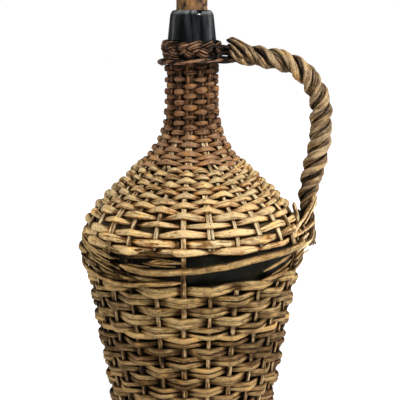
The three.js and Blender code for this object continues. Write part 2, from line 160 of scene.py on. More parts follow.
def curve_through(knots: Sequence[tuple[float, ...]], count: int) -> Array:
    """A smooth line through given places.

    Args:
        knots: The places, each as a row of coordinates.
        count: How many points to give back.

    Returns:
        Points along the line.
    """
    rows = np.array(knots, float)
    rows = np.vstack([2.0 * rows[0] - rows[1], rows, 2.0 * rows[-1] - rows[-2]])
    at = np.linspace(0.0, len(knots) - 1.0, count)
    low = np.minimum(at.astype(int), len(knots) - 2)
    u = (at - low)[:, None]
    a, b, c, d = (rows[low + i] for i in range(4))
    bend = 2.0 * a - 5.0 * b + 4.0 * c - d + (3.0 * b - a - 3.0 * c + d) * u
    return 0.5 * (2.0 * b + (c - a + bend * u) * u)


def distances(points: Array) -> Array:
    """How far each point of a row is from its start, along the row."""
    steps = np.linalg.norm(np.diff(points, axis=0), axis=1)
    return np.concatenate([[0.0], np.cumsum(steps)])


def around(radius: Array | float, angle: Array, z: Array | float) -> Array:
    """Points round the axis.

    Args:
        radius: Their distances from the axis.
        angle: Their angles about it.
        z: Their heights.

    Returns:
        The points.
    """
    x, y = radius * np.cos(angle), radius * np.sin(angle)
    return np.stack([x, y, np.broadcast_to(z, x.shape)], axis=-1)


def add_object(name: str, data: bpy.types.ID) -> bpy.types.Object:
    """Puts new data into the scene.

    Args:
        name: The new object's name.
        data: Its mesh, camera or light.

    Returns:
        The object.
    """
    item = bpy.data.objects.new(name, data)
    bpy.context.scene.collection.objects.link(item)
    return item


def place(piece: bpy.types.Object, body: Body, nodes: Sequence[str]) -> None:
    """Hands a finished piece to the frame.

    Args:
        piece: The piece.
        body: The body it rides on.
        nodes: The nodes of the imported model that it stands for.
    """
    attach(piece, body.value)
    if nodes:
        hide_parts(*nodes)
    LOG.info("%s: %d faces, stands for %d nodes", piece.name, len(piece.data.polygons), len(nodes))


class Sock:
    """An output socket with arithmetic: each expression adds its Math node."""

    def __init__(self, graph: Graph, socket: bpy.types.NodeSocket | None) -> None:
        """Wraps a socket of a graph."""
        self.graph = graph
        self.socket = socket

    def _math(self, operation: str, first: Any, second: Any) -> Sock:
        """Adds one Math node."""
        return self.graph.add("ShaderNodeMath", {"operation": operation}, {0: first, 1: second})

    def __add__(self, other: Sock | float) -> Sock:
        """Sum."""
        return self._math("ADD", self, other)

    __radd__ = __add__

    def __sub__(self, other: Sock | float) -> Sock:
        """Difference."""
        return self._math("SUBTRACT", self, other)

    def __rsub__(self, other: Sock | float) -> Sock:
        """Difference from a number."""
        return self._math("SUBTRACT", other, self)

    def __mul__(self, other: Sock | float) -> Sock:
        """Product."""
        return self._math("MULTIPLY", self, other)

    __rmul__ = __mul__

    def __pow__(self, other: Sock | float) -> Sock:
        """Power."""
        return self._math("POWER", self, other)

    def step(self, low: float, high: float) -> Sock:
        """Rises smoothly from 0 at low to 1 at high."""
        settings = {"interpolation_type": "SMOOTHSTEP"}
        return self.graph.add("ShaderNodeMapRange", settings, {"Value": self, 1: low, 2: high})


class Graph:
    """A node tree that is written as calls."""

    def __init__(self, tree: bpy.types.NodeTree) -> None:
        """Works on a node tree."""
        self.tree = tree

    def add(
        self,
        kind: str,
        settings: Mapping[str, Any] | None = None,
        inputs: Mapping[str | int, Any] | None = None,
        output: str | int = 0,
    ) -> Sock:
        """Adds a node.

        Args:
            kind: The node's type.
            settings: Properties that are set first.
            inputs: Values or links by the socket's identifier, name or index.
            output: The output to give back.

        Returns:
            The chosen output.
        """
        node = self.tree.nodes.new(kind)
        for key, value in (settings or {}).items():
            setattr(node, key, value)
        for key, value in (inputs or {}).items():
            socket = self._find(node.inputs, key)
            if isinstance(value, Sock):
                self.tree.links.new(value.socket, socket)
            else:
                socket.default_value = value
        found = self._find(node.outputs, output) if len(node.outputs) else None
        return Sock(self, found)

    @staticmethod
    def _find(sockets: Sequence[bpy.types.NodeSocket], key: str | int) -> bpy.types.NodeSocket:
        """Finds a socket by index, identifier or name."""
        if isinstance(key, int):
            return sockets[key]
        return next((s for s in sockets if s.identifier == key), None) or sockets[key]

    def mix(self, share: Sock | float, first: Any, second: Any) -> Sock:
        """Mixes two colours.

        Args:
            share: Share of the second colour.
            first: Colour at share 0.
            second: Colour at share 1.

        Returns:
            The mixed colour.
        """
        inputs = {"Factor_Float": share, "A_Color": self._rgba(first), "B_Color": self._rgba(second)}
        return self.add("ShaderNodeMix", {"data_type": "RGBA"}, inputs, "Result_Color")

    def times(self, value: Sock, by: Colour) -> Sock:
        """Multiplies a place or a colour by a number for each axis or channel."""
        return self.add("ShaderNodeVectorMath", {"operation": "MULTIPLY"}, {0: value, 1: by})

    @staticmethod
    def _rgba(colour: Any) -> Any:
        """Gives a plain colour its alpha."""
        return colour if isinstance(colour, Sock) else (*colour, 1.0)

    def noise(
        self,
        where: Sock,
        scale: float = 1.0,
        detail: float = 3.0,
        roughness: float = 0.55,
        stretch: tuple[float, float, float] | None = None,
    ) -> Sock:
        """A noise value from 0 to 1.

        Args:
            where: The place.
            scale: How fast it changes.
            detail: How many finer layers it has.
            roughness: How strong these are.
            stretch: How fast it changes along each axis, if not evenly.

        Returns:
            The value.
        """
        if stretch:
            where = self.times(where, stretch)
        inputs = {"Vector": where, "Scale": scale, "Detail": detail, "Roughness": roughness}
        return self.add("ShaderNodeTexNoise", None, inputs, "Fac")

    def object_place(self) -> Sock:
        """The place in the object's own coordinates."""
        return self.add("ShaderNodeTexCoord", None, None, "Object")

    def bump(self, height: Sock, strength: float, distance: float) -> Sock:
        """The normal of a surface with a fine relief."""
        inputs = {"Strength": strength, "Distance": distance, "Height": height}
        return self.add("ShaderNodeBump", None, inputs)

    def surface(self, shader: Sock) -> None:
        """Joins a shader to the material's surface."""
        self.add("ShaderNodeOutputMaterial", None, {"Surface": shader})


def new_material(name: str) -> tuple[bpy.types.Material, Graph]:
    """Makes an empty node material.

    Args:
        name: The material's name.

    Returns:
        The material and its graph.
    """
    material = bpy.data.materials.new(name)
    material.use_nodes = True
    material.node_tree.nodes.clear()
    return material, Graph(material.node_tree)


@dataclass(frozen=True)
class WillowFinish:
    """Weathered willow: long fibres, mottling, dark specks, crowns pale partly from rubbing and partly
    painted highlight, painted shade in the recesses and a painted sheen.
    """

    FIBRE = (1.9, 1.9, 0.20)
    HAIR = (4.6, 4.6, 0.16)
    MOTTLE = (0.7, 0.7, 0.45)
    SPECK = (1.5, 1.5, 1.1)
    CRACK = (2.4, 2.4, 0.07)
    WARM = (1.12, 0.90, 0.66)
    COOL = (0.92, 1.0, 1.06)
    GOLDEN = (1.35, 1.12, 0.70)
    BROWN = (0.78, 0.64, 0.66)

    name: str
    # The crown colour is pale partly from rubbing and partly a painted highlight. The darkest colour is
    # painted shade in the recesses where canes dive behind, and also the colour of cracks and specks.
    crown: Colour
    middle: Colour
    shade_and_crack: Colour
    roughness: float = 0.55
    coat: float = 0.10
    focus: float = 1.2
    # The streak colour is a painted sheen along the lit crests.
    streak: Colour = srgb(226, 206, 164)
    old_crown: Colour = srgb(144, 103, 62)
    old_middle: Colour = srgb(80, 53, 33)
    patches: float = 0.2
    grain: float = 1.8
    mottling: float = 1.8
    relief: float = 0.0009

    def make(self) -> bpy.types.Material:
        """Builds the material.

        Returns:
            The material, which reads the cane's own attributes.
        """
        material, g = new_material(self.name)
        ring = self._attribute(g, "cane_ring", "Vector")
        tone = self._attribute(g, "cane_tone")
        where = self._on_cane(g, ring, tone)
        fibre = g.noise(where, roughness=0.65, stretch=self.FIBRE)
        hair = g.noise(where, detail=2.0, stretch=self.HAIR)
        mottle = g.noise(where, roughness=0.6, stretch=self.MOTTLE)
        speck = g.noise(where, scale=1.6, detail=2.0, stretch=self.SPECK).step(0.60, 0.68)
        crack = 1.0 - g.noise(where, detail=1.0, stretch=self.CRACK).step(0.30, 0.38)
        light = self._lightness(g, ring, tone) + (fibre - 0.5) * self.grain + (mottle - 0.5) * self.mottling
        shade = self._patched(g, self._cast(g, tone, self._aged(g, light)))
        # Painted sheen: pale fibre streaks on the lit parts of the cane.
        shade = g.mix(hair.step(0.55, 0.72) * light.step(0.35, 0.9) * 0.45, shade, self.streak)
        shade = g.mix(crack * (0.36 * self.grain), shade, self.shade_and_crack)
        shade = g.mix(speck * 0.7, shade, tuple(0.6 * c for c in self.shade_and_crack))
        height = fibre * 0.8 + hair * 0.6 + mottle * 0.4 - speck * 0.5 - crack * 0.8
        inputs = {
            "Base Color": shade,
            "Roughness": (0.5 - fibre) * 0.3 + self.roughness,
            "Normal": g.bump(height, strength=0.9, distance=self.relief),
            "Specular IOR Level": 0.12,
            "Coat Weight": light.step(0.25, 0.9) * self.coat,
            "Coat Roughness": 0.3,
        }
        g.surface(g.add("ShaderNodeBsdfPrincipled", None, inputs))
        return material

    def _on_cane(self, g: Graph, ring: Sock, tone: Sock) -> Sock:
        """The place on the cane's skin, moved on by its tone so that no two canes look alike."""
        along = self._attribute(g, "cane_along")
        parts = {"X": tone * 37.0, "Y": tone * 53.0, "Z": along * 260.0 + tone * 91.0}
        shift = g.add("ShaderNodeCombineXYZ", None, parts)
        return g.add("ShaderNodeVectorMath", {"operation": "ADD"}, {0: ring, 1: shift})

    def _lightness(self, g: Graph, ring: Sock, tone: Sock) -> Sock:
        """How pale the cane is: its crown (rubbing plus painted highlight and shade), a painted paler outer
        face with shaded sides, its tone and its part of the basket.
        """
        crown = self._attribute(g, "cane_crown") ** self.focus
        # Painted light: the face that looks outward is paler and the sides are darker.
        face = g.add("ShaderNodeSeparateXYZ", None, {0: ring}, "X")
        weather = g.noise(g.object_place(), scale=14.0)
        light = crown * 0.66 + face.step(0.0, 0.85) * 0.52 + (tone - 0.5) * 0.65 - 0.36
        return light + (weather - 0.5) * 0.8

    def _aged(self, g: Graph, light: Sock) -> Sock:
        """The colour from painted shade over middle to the crown's pale colour, darker where the cane is old.
        """
        old = self._attribute(g, "cane_age")
        shade = g.mix(light.step(-0.02, 0.55), self.shade_and_crack, g.mix(old, self.middle, self.old_middle))
        return g.mix(light.step(0.45, 1.0), shade, g.mix(old, self.crown, self.old_crown))

    def _cast(self, g: Graph, tone: Sock, shade: Sock) -> Sock:
        """Makes some canes warmer and others cooler."""
        cast = g.add("ShaderNodeTexWhiteNoise", {"noise_dimensions": "1D"}, {"W": tone * 971.0})
        shade = g.mix(cast.step(0.45, 1.0) * 0.42, shade, g.times(shade, self.WARM))
        return g.mix((1.0 - cast).step(0.55, 1.0) * 0.45, shade, g.times(shade, self.COOL))

    def _patched(self, g: Graph, shade: Sock) -> Sock:
        """Adds golden and brown patches."""
        patch = g.noise(g.object_place(), scale=95.0, detail=2.0)
        shade = g.mix(patch.step(0.52, 0.68) * self.patches, shade, g.times(shade, self.GOLDEN))
        return g.mix((1.0 - patch).step(0.52, 0.68) * self.patches, shade, g.times(shade, self.BROWN))

    @staticmethod
    def _attribute(g: Graph, name: str, output: str = "Fac") -> Sock:
        """Reads one of the cane's attributes."""
        return g.add("ShaderNodeAttribute", {"attribute_name": name}, None, output)


@dataclass(frozen=True)
class GlassFinish:
    """Near-black green bottle glass: dusty, with grime under the dome and a clean lip with painted reflection
    streaks and a painted highlight along its top edge.
    """

    LIP_FROM = (0.26, 0.34)
    GRIME_FROM = (0.202, 0.212)
    RIM_FROM = (0.4150, 0.4185)

    name: str = "bottle_glass"
    deep: Colour = srgb(8, 10, 10)
    dust: Colour = srgb(54, 50, 27)
    grime: Colour = srgb(98, 80, 52)
    # The next colour is a painted reflection in streaks on the lip; the one after it is a painted highlight
    # along the lip's top edge.
    film_and_reflection: Colour = srgb(64, 66, 70)
    rim_highlight: Colour = srgb(150, 152, 152)

    def make(self) -> bpy.types.Material:
        """Builds the material.

        Returns:
            The material.
        """
        material, g = new_material(self.name)
        where = g.object_place()
        height = g.add("ShaderNodeSeparateXYZ", None, {0: where}, "Z")
        clean = height.step(*self.LIP_FROM)
        # This noise patches the dust and grime and varies the roughness.
        film_and_reflection = g.noise(where, scale=38.0, detail=4.0).step(0.45, 0.8)
        streak = g.noise(where, scale=150.0, stretch=(1.0, 1.0, 0.12))
        waves = g.noise(where, scale=110.0, detail=2.0, stretch=(1.0, 1.0, 0.4))
        rim_highlight = height.step(*self.RIM_FROM) * streak.step(0.38, 0.60)
        shade = g.mix((1.0 - clean) * (film_and_reflection * 0.35 + 0.12), self.deep, self.dust)
        grimy = (1.0 - clean) * height.step(*self.GRIME_FROM)
        shade = g.mix(grimy * (film_and_reflection * 0.4 + 0.55), shade, self.grime)
        # Painted reflection in streaks on the clean lip, then a painted highlight along its top edge.
        shade = g.mix(clean * streak.step(0.38, 0.70) * 0.65, shade, self.film_and_reflection)
        shade = g.mix(rim_highlight * 0.6, shade, self.rim_highlight)
        bump = g.bump(waves * 0.7 + streak * 0.6, strength=0.5, distance=0.003)
        inputs = {
            "Base Color": shade,
            "Roughness": film_and_reflection * 0.14 + streak * 0.12 + (1.0 - clean) * 0.30 + 0.06,
            "Normal": bump,
            "IOR": 1.5,
            "Specular IOR Level": 0.10,
            "Coat Weight": clean * 0.22,
            "Coat Roughness": 0.06,
        }
        g.surface(g.add("ShaderNodeBsdfPrincipled", None, inputs))
        return material


@dataclass(frozen=True)
class CorkFinish:
    """Natural cork: tan grain with dark pits and cracks."""

    name: str = "cork_bark"
    pale: Colour = srgb(152, 110, 65)
    tan: Colour = srgb(86, 61, 35)
    pit: Colour = srgb(30, 20, 11)

    def make(self) -> bpy.types.Material:
        """Builds the material.

        Returns:
            The material.
        """
        material, g = new_material(self.name)
        where = g.object_place()
        grain = g.noise(where, scale=420.0, detail=4.0, roughness=0.65)
        patch = g.noise(where, scale=150.0, detail=2.0)
        hollow = g.noise(where, scale=115.0, detail=4.0, roughness=0.6, stretch=(1.0, 1.0, 0.7))
        streak = g.noise(where, scale=300.0, roughness=0.6, stretch=(1.0, 1.0, 0.22))
        cells = {"Vector": where, "Scale": 210.0}
        cracks = g.add("ShaderNodeTexVoronoi", {"feature": "DISTANCE_TO_EDGE"}, cells, "Distance")
        seam = 1.0 - cracks.step(0.0, 0.07)
        pits = hollow.step(0.44, 0.76) + seam * 0.35 * patch
        shade = g.mix((grain * 0.5 + patch * 0.5 + streak * 0.6).step(0.55, 1.05), self.tan, self.pale)
        shade = g.mix(pits.step(0.05, 0.7), shade, self.pit)
        bump = g.bump(grain * 0.35 - pits, strength=0.8, distance=0.0008)
        inputs = {"Base Color": shade, "Roughness": grain * 0.2 + 0.75, "Normal": bump}
        g.surface(g.add("ShaderNodeBsdfPrincipled", None, inputs))
        return material


WILLOW = {
    Slot.UPRIGHT: WillowFinish(
        "willow_uprights", crown=srgb(236, 212, 166), middle=srgb(142, 110, 70), shade_and_crack=srgb(22, 13, 6)
    ),
    Slot.BODY: WillowFinish(
        "willow_body",
        crown=srgb(198, 165, 108),
        middle=srgb(101, 75, 40),
        shade_and_crack=srgb(9, 6, 3),
        patches=0.5,
        grain=0.6,
        mottling=0.9,
    ),
    Slot.DOME: WillowFinish(
        "willow_dome",
        crown=srgb(231, 204, 150),
        middle=srgb(165, 119, 69),
        shade_and_crack=srgb(14, 8, 3),
        patches=0.6,
    ),
    Slot.NECK: WillowFinish(
        "willow_neck",
        crown=srgb(230, 192, 146),
        middle=srgb(162, 110, 66),
        shade_and_crack=srgb(40, 27, 18),
        roughness=0.42,
        coat=0.15,
        focus=1.45,
        streak=srgb(170, 132, 92),
        old_crown=srgb(127, 89, 58),
        old_middle=srgb(80, 53, 36),
        patches=0.9,
        grain=1.4,
    ),
    Slot.COLLAR: WillowFinish(
        "willow_collar",
        crown=srgb(150, 110, 80),
        middle=srgb(34, 23, 17),
        shade_and_crack=srgb(3, 2, 1),
        roughness=0.36,
        coat=0.25,
        streak=srgb(176, 140, 108),
    ),
    Slot.HANDLE: WillowFinish(
        "willow_handle",
        crown=srgb(186, 158, 118),
        middle=srgb(120, 97, 71),
        shade_and_crack=srgb(34, 25, 18),
        patches=0.55,
        grain=1.2,
        mottling=1.4,
    ),
}


class Outline:
    """A flat line of straight runs and rounded corners, walked by its length."""

    STEP = 0.0005
    SAME_PLACE = 1e-9

    def __init__(self, corners: Sequence[tuple[float, float, float]]) -> None:
        """Lays the line out.

        Args:
            corners: Two coordinates and a fillet radius for each corner.
        """
        pieces: list[Array] = []
        here = np.array(corners[0][:2])
        for index in range(1, len(corners) - 1):
            corner = np.array(corners[index][:2])
            ahead = self._unit(corner - here)
            after = self._unit(np.array(corners[index + 1][:2]) - corner)
            turn = math.atan2(ahead[0] * after[1] - ahead[1] * after[0], float(ahead @ after))
            reach = corners[index][2] * math.tan(abs(turn) / 2.0)
            start = corner - reach * ahead
            pieces.append(self._straight(here, start))
            pieces.append(self._bend(start, ahead, corners[index][2], turn))
            here = corner + reach * after
        pieces.append(self._straight(here, np.array(corners[-1][:2])))
        self.breaks = np.cumsum([0.0] + [distances(p)[-1] for p in pieces])
        points = np.vstack(pieces)
        keep = np.diff(distances(points), prepend=-1.0) > self.SAME_PLACE
        self.points = points[keep]
        self.lengths = distances(self.points)
        slope = np.gradient(self.points, self.lengths, axis=0)
        self.ahead = slope / np.linalg.norm(slope, axis=1, keepdims=True)

    @staticmethod
    def _unit(vector: Array) -> Array:
        """A vector of length 1."""
        return vector / np.linalg.norm(vector)

    def _straight(self, start: Array, end: Array) -> Array:
        """Points of a straight run."""
        count = max(2, int(np.linalg.norm(end - start) / self.STEP))
        return start + np.linspace(0.0, 1.0, count)[:, None] * (end - start)

    def _bend(self, start: Array, ahead: Array, radius: float, turn: float) -> Array:
        """Points of a rounded corner."""
        count = max(3, int(radius * abs(turn) / self.STEP))
        side = math.copysign(1.0, turn)
        centre = start + side * radius * np.array([-ahead[1], ahead[0]])
        angles = np.linspace(0.0, turn, count)
        arm = start - centre
        cos, sin = np.cos(angles), np.sin(angles)
        return centre + np.stack([cos * arm[0] - sin * arm[1], sin * arm[0] + cos * arm[1]], axis=1)

    @property
    def length(self) -> float:
        """The whole length."""
        return float(self.lengths[-1])

    def at(self, s: Array) -> tuple[Array, Array, Array]:
        """Walks the line.

        Args:
            s: Lengths from the start.

        Returns:
            Points, directions and right-hand normals there.
        """
        point = np.stack([np.interp(s, self.lengths, self.points[:, i]) for i in range(2)], axis=1)
        ahead = np.stack([np.interp(s, self.lengths, self.ahead[:, i]) for i in range(2)], axis=1)
        ahead /= np.linalg.norm(ahead, axis=1, keepdims=True)
        return point, ahead, np.stack([ahead[:, 1], -ahead[:, 0]], axis=1)


@dataclass
class Cane:
    """One willow cane: its path, which way its face looks, how thick, pale and old it is, and its crown: pale
    partly from rubbing, partly painted highlight and shade.
    """

    END_SIZE = 0.45

    points: Array
    normals: Array
    radius: Array
    crown: Array
    tone: float
    age: Array | float = 0.0

    @classmethod
    def plain(
        cls,
        points: Array,
        radius: Array | float,
        tone: float,
        crown: Array | float,
        face: Array | None = None,
    ) -> Cane:
        """Makes a cane from its path.

        Args:
            points: The path.
            radius: Half its width, along the path or as one number.
            tone: 0 for a dark cane, 1 for a pale one.
            crown: How pale it is along the path, partly from rubbing and partly painted highlight and shade.
            face: Which way its face looks; away from the axis if left out.

        Returns:
            The cane.
        """
        count = len(points)
        if face is None:
            face = points * (1.0, 1.0, 0.0)
        return cls(points, face, np.broadcast_to(radius, count), np.broadcast_to(crown, count), tone)

    def trimmed(self, taper: float) -> Cane:
        """Narrows both ends over a length.

        Args:
            taper: The length over which an end narrows.

        Returns:
            The same cane with narrowed ends.
        """
        along = distances(self.points)
        end = np.minimum(along, along[-1] - along)
        self.radius = self.radius * between((self.END_SIZE, 1.0), smooth(end, 0.0, taper))
        return self


class CaneSweep:
    """The node tree that turns paths into canes: a rounded section swept along each of them."""

    NOISE_SCALE = 55.0

    def __init__(self, finishes: Mapping[Slot, bpy.types.Material]) -> None:
        """Builds the tree with its named inputs.

        Args:
            finishes: The willow of each slot.
        """
        self.finishes = finishes
        self.tree = bpy.data.node_groups.new("Cane sweep", "GeometryNodeTree")
        kinds = {
            "Paths": "NodeSocketGeometry",
            "Sides": "NodeSocketInt",
            "Flatness": "NodeSocketFloat",
            "Wobble": "NodeSocketFloat",
            "Seed": "NodeSocketFloat",
            "Willow": "NodeSocketMaterial",
        }
        self.inputs: dict[str, str] = {}
        for name, kind in kinds.items():
            socket = self.tree.interface.new_socket(name=name, in_out="INPUT", socket_type=kind)
            self.inputs[name] = socket.identifier
        self.tree.interface.new_socket(name="Canes", in_out="OUTPUT", socket_type="NodeSocketGeometry")
        self._wire()

    def _wire(self) -> None:
        """Wires the tree."""
        g = Graph(self.tree)
        group = self.tree.nodes.new("NodeGroupInput")
        given = {name: Sock(g, group.outputs[name]) for name in self.inputs}
        curve = g.add("GeometryNodeMeshToCurve", None, {"Mesh": given["Paths"]})
        noise = g.add(
            "ShaderNodeTexNoise",
            {"noise_dimensions": "4D"},
            {"W": given["Seed"], "Scale": self.NOISE_SCALE, "Detail": 1.0},
            "Color",
        )
        centred = g.add("ShaderNodeVectorMath", {"operation": "SUBTRACT"}, {0: noise, 1: (0.5, 0.5, 0.5)})
        shift = g.add("ShaderNodeVectorMath", {"operation": "SCALE"}, {0: centred, "Scale": given["Wobble"]})
        curve = g.add("GeometryNodeSetPosition", None, {"Geometry": curve, "Offset": shift})
        face = g.add("GeometryNodeInputNamedAttribute", {"data_type": "FLOAT_VECTOR"}, {"Name": "cane_face"})
        curve = g.add("GeometryNodeSetCurveNormal", {"mode": "FREE"}, {"Curve": curve, "Normal": face})
        circle = {"Resolution": given["Sides"], "Radius": 1.0}
        section = g.add("GeometryNodeCurvePrimitiveCircle", None, circle)
        section = g.add(
            "GeometryNodeStoreNamedAttribute",
            {"data_type": "FLOAT_VECTOR", "domain": "POINT"},
            {"Geometry": section, "Name": "cane_ring", "Value": g.add("GeometryNodeInputPosition")},
        )
        squeeze = g.add("ShaderNodeCombineXYZ", None, {"X": given["Flatness"], "Y": 1.0, "Z": 1.0})
        section = g.add("GeometryNodeTransform", None, {"Geometry": section, "Scale": squeeze})
        radius = g.add("GeometryNodeInputNamedAttribute", {"data_type": "FLOAT"}, {"Name": "cane_radius"})
        mesh = g.add(
            "GeometryNodeCurveToMesh",
            None,
            {"Curve": curve, "Profile Curve": section, "Scale": radius, "Fill Caps": True},
        )
        mesh = g.add("GeometryNodeSetShadeSmooth", None, {"Geometry": mesh})
        mesh = g.add("GeometryNodeRealizeInstances", None, {"Geometry": mesh})
        mesh = g.add("GeometryNodeSetMaterial", None, {"Geometry": mesh, "Material": given["Willow"]})
        g.add("NodeGroupOutput", None, {0: mesh})

    def build(
        self,
        name: str,
        slot: Slot,
        nodes: Sequence[str],
        canes: Sequence[Cane],
        sides: int = 8,
        flatness: float = 0.9,
        wobble: float = 0.0006,
        seed: float = 1.0,
    ) -> None:
        """Sweeps canes into one plain mesh and hands it to the frame.

        Args:
            name: The new piece's name.
            slot: The record's slot of its finish.
            nodes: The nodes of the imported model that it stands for.
            canes: The canes.
            sides: Sides of the section.
            flatness: Thickness of a cane over its width.
            wobble: How far the paths wander.
            seed: Seed of that wander.
        """
        paths = add_object(f"{name}_paths", self._path_mesh(canes))
        modifier = paths.modifiers.new("Canes", "NODES")
        modifier.node_group = self.tree
        willow = self.finishes[slot]
        values = {"Sides": sides, "Flatness": flatness, "Wobble": wobble, "Seed": seed, "Willow": willow}
        for key, value in values.items():
            modifier[self.inputs[key]] = value
        depsgraph = bpy.context.evaluated_depsgraph_get()
        mesh = bpy.data.meshes.new_from_object(
            paths.evaluated_get(depsgraph), preserve_all_data_layers=True, depsgraph=depsgraph
        )
        bpy.data.objects.remove(paths)
        mesh.name = name
        place(add_object(name, mesh), Body.VESSEL, nodes)

    @staticmethod
    def _path_mesh(canes: Sequence[Cane]) -> bpy.types.Mesh:
        """Writes the canes' paths and their attributes into a mesh of edges.

        Args:
            canes: The canes.

        Returns:
            The mesh.
        """
        points = np.vstack([c.points for c in canes])
        edges: list[Array] = []
        along: list[Array] = []
        face: list[Array] = []
        start = 0
        for cane in canes:
            count = len(cane.points)
            index = np.arange(start, start + count - 1)
            edges.append(np.stack([index, index + 1], axis=1))
            along.append(distances(cane.points))
            ahead = np.gradient(cane.points, axis=0)
            ahead /= np.linalg.norm(ahead, axis=1, keepdims=True)
            normal = cane.normals - (cane.normals * ahead).sum(1, keepdims=True) * ahead
            face.append(normal / np.linalg.norm(normal, axis=1, keepdims=True))
            start += count
        mesh = bpy.data.meshes.new("paths")
        mesh.from_pydata(points.tolist(), np.vstack(edges).tolist(), [])
        floats = {
            "cane_radius": np.concatenate([c.radius for c in canes]),
            "cane_crown": np.concatenate([c.crown for c in canes]),
            "cane_tone": np.concatenate([np.full(len(c.points), c.tone) for c in canes]),
            "cane_age": np.concatenate([np.broadcast_to(c.age, len(c.points)) for c in canes]),
            "cane_along": np.concatenate(along),
        }
        for key, values in floats.items():
            mesh.attributes.new(key, "FLOAT", "POINT").data.foreach_set("value", values.astype(np.float32))
        vectors = np.vstack(face).astype(np.float32).ravel()
        mesh.attributes.new("cane_face", "FLOAT_VECTOR", "POINT").data.foreach_set("vector", vectors)
        return mesh


def turned(name: str, outline: Array, segments: int, material: bpy.types.Material) -> bpy.types.Object:
    """Turns a closed outline about Z into a smooth solid.

    Args:
        name: The new object's name.
        outline: Radius and height of each point, from the axis out, up and back to the axis.
        segments: Steps round the axis.
        material: Its finish.

    Returns:
        The object, with its place in its mesh.
    """
    angles = np.linspace(0.0, TAU, segments, endpoint=False)
    inner = outline[1:-1]
    rings = around(inner[:, :1], angles, inner[:, 1:]).reshape(-1, 3)
    poles = [(0.0, 0.0, float(outline[0, 1])), (0.0, 0.0, float(outline[-1, 1]))]
    first, last = len(rings), len(rings) + 1
    top = (len(inner) - 1) * segments
    faces: list[tuple[int, ...]] = []
    for j in range(segments):
        k = (j + 1) % segments
        faces.append((first, k, j))
        faces.append((last, top + j, top + k))
        for i in range(len(inner) - 1):
            a = i * segments
            faces.append((a + j, a + k, a + segments + k, a + segments + j))
    mesh = bpy.data.meshes.new(name)
    mesh.from_pydata(np.vstack([rings, poles]).tolist(), [], faces)
    mesh.shade_smooth()
    mesh.materials.append(material)
    return add_object(name, mesh)


@dataclass
class Bottle:
    """The glass bottle and its wall, which the casing follows."""

    floor_radius: float = 0.066
    shoulder_radius: float = 0.1035
    body_height: float = 0.213
    shoulder_fillet: float = 0.049
    cone_height: float = 0.080
    neck_radius: float = 0.018
    neck_fillet: float = 0.082
    wall_thickness: float = 0.0032
    heel_fillet: float = 0.014
    punt_radius: float = 0.046
    punt_height: float = 0.015
    lip_height: float = 0.032
    lip_foot_radius: float = 0.0238
    lip_top_radius: float = 0.0213
    lip_round: Pair = (0.0045, 0.0075)
    lip_turn: Pair = (8.0, 90.0)
    lip_edge: tuple[Pair, ...] = ((0.0012, 0.0), (0.0003, 0.0004), (0.0, 0.0016))
    mouth_round: Pair = (0.0006, 0.0008)
    bore_clearance: float = 0.00025
    cork_room: float = 0.001
    samples: int = 60
    segments: int = 96
    wall: Outline = field(init=False)

    def __post_init__(self) -> None:
        """Reads the heights from the frame and lays out the wall."""
        low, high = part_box("glass_bottle")
        self.foot_z, self.rim_z = low.z, high.z
        self.lip_foot_z = self.rim_z - self.lip_height
        self.neck_corner_z = self.body_height + self.cone_height
        self.wall = Outline(
            [
                (self.floor_radius, 0.0, 0.0),
                (self.shoulder_radius, self.body_height, self.shoulder_fillet),
                (self.neck_radius, self.neck_corner_z, self.neck_fillet),
                (self.neck_radius, self.lip_foot_z, 0.0),
            ]
        )
        self.shoulder_start, _, self.cone_end = self.wall.breaks[1:4]

    def _skin(self, inset: float) -> Array:
        """One face of the foot and wall, from the axis to the foot of the lip."""
        foot = self.foot_z + inset
        slope = (self.shoulder_radius - self.floor_radius) / self.body_height
        start = self.wall.at(np.array([self.shoulder_start]))[0][0]
        heel = Outline(
            [
                (0.0, foot + self.punt_height, 0.0),
                (self.punt_radius / 2.0, foot + self.punt_height, self.punt_radius / 2.0),
                (self.punt_radius, foot, self.heel_fillet),
                (self.floor_radius + slope * foot - inset, foot, self.heel_fillet - inset),
                (start[0] - inset, start[1], 0.0),
            ]
        )
        low = heel.at(np.linspace(0.0, heel.length, self.samples))[0]
        above = np.linspace(self.shoulder_start, self.wall.length, self.samples)[1:]
        point, _, normal = self.wall.at(above)
        return np.vstack([low, point - inset * normal])

    def build(self, glass: bpy.types.Material) -> None:
        """Builds and places the bottle.

        Args:
            glass: The glass.
        """
        cork_low, cork_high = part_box("cork")
        rim_radius = cork_high.x + self.bore_clearance
        turn = np.radians(np.linspace(*self.lip_turn, 9))
        across, up = self.lip_round
        top_radius = self.lip_top_radius + across * (np.cos(turn) - 1.0)
        lip_top = np.stack([top_radius, self.rim_z + up * (np.sin(turn) - 1.0)], axis=1)
        lip = np.array([(self.lip_foot_radius - inset, self.lip_foot_z + z) for inset, z in self.lip_edge])
        wide, deep = self.mouth_round
        mouth = np.array([(rim_radius + wide, self.rim_z), (rim_radius, self.rim_z - deep)])
        end = cork_low.z - self.cork_room
        bore = np.array([(self.neck_radius - self.wall_thickness, end)])
        inside = self._skin(self.wall_thickness)
        inside = inside[inside[:, 1] < end - self.cork_room][::-1]
        outline = np.vstack([self._skin(0.0), lip, lip_top, mouth, bore, inside])
        place(turned("bottle", outline, self.segments, glass), Body.VESSEL, ["glass_bottle"])


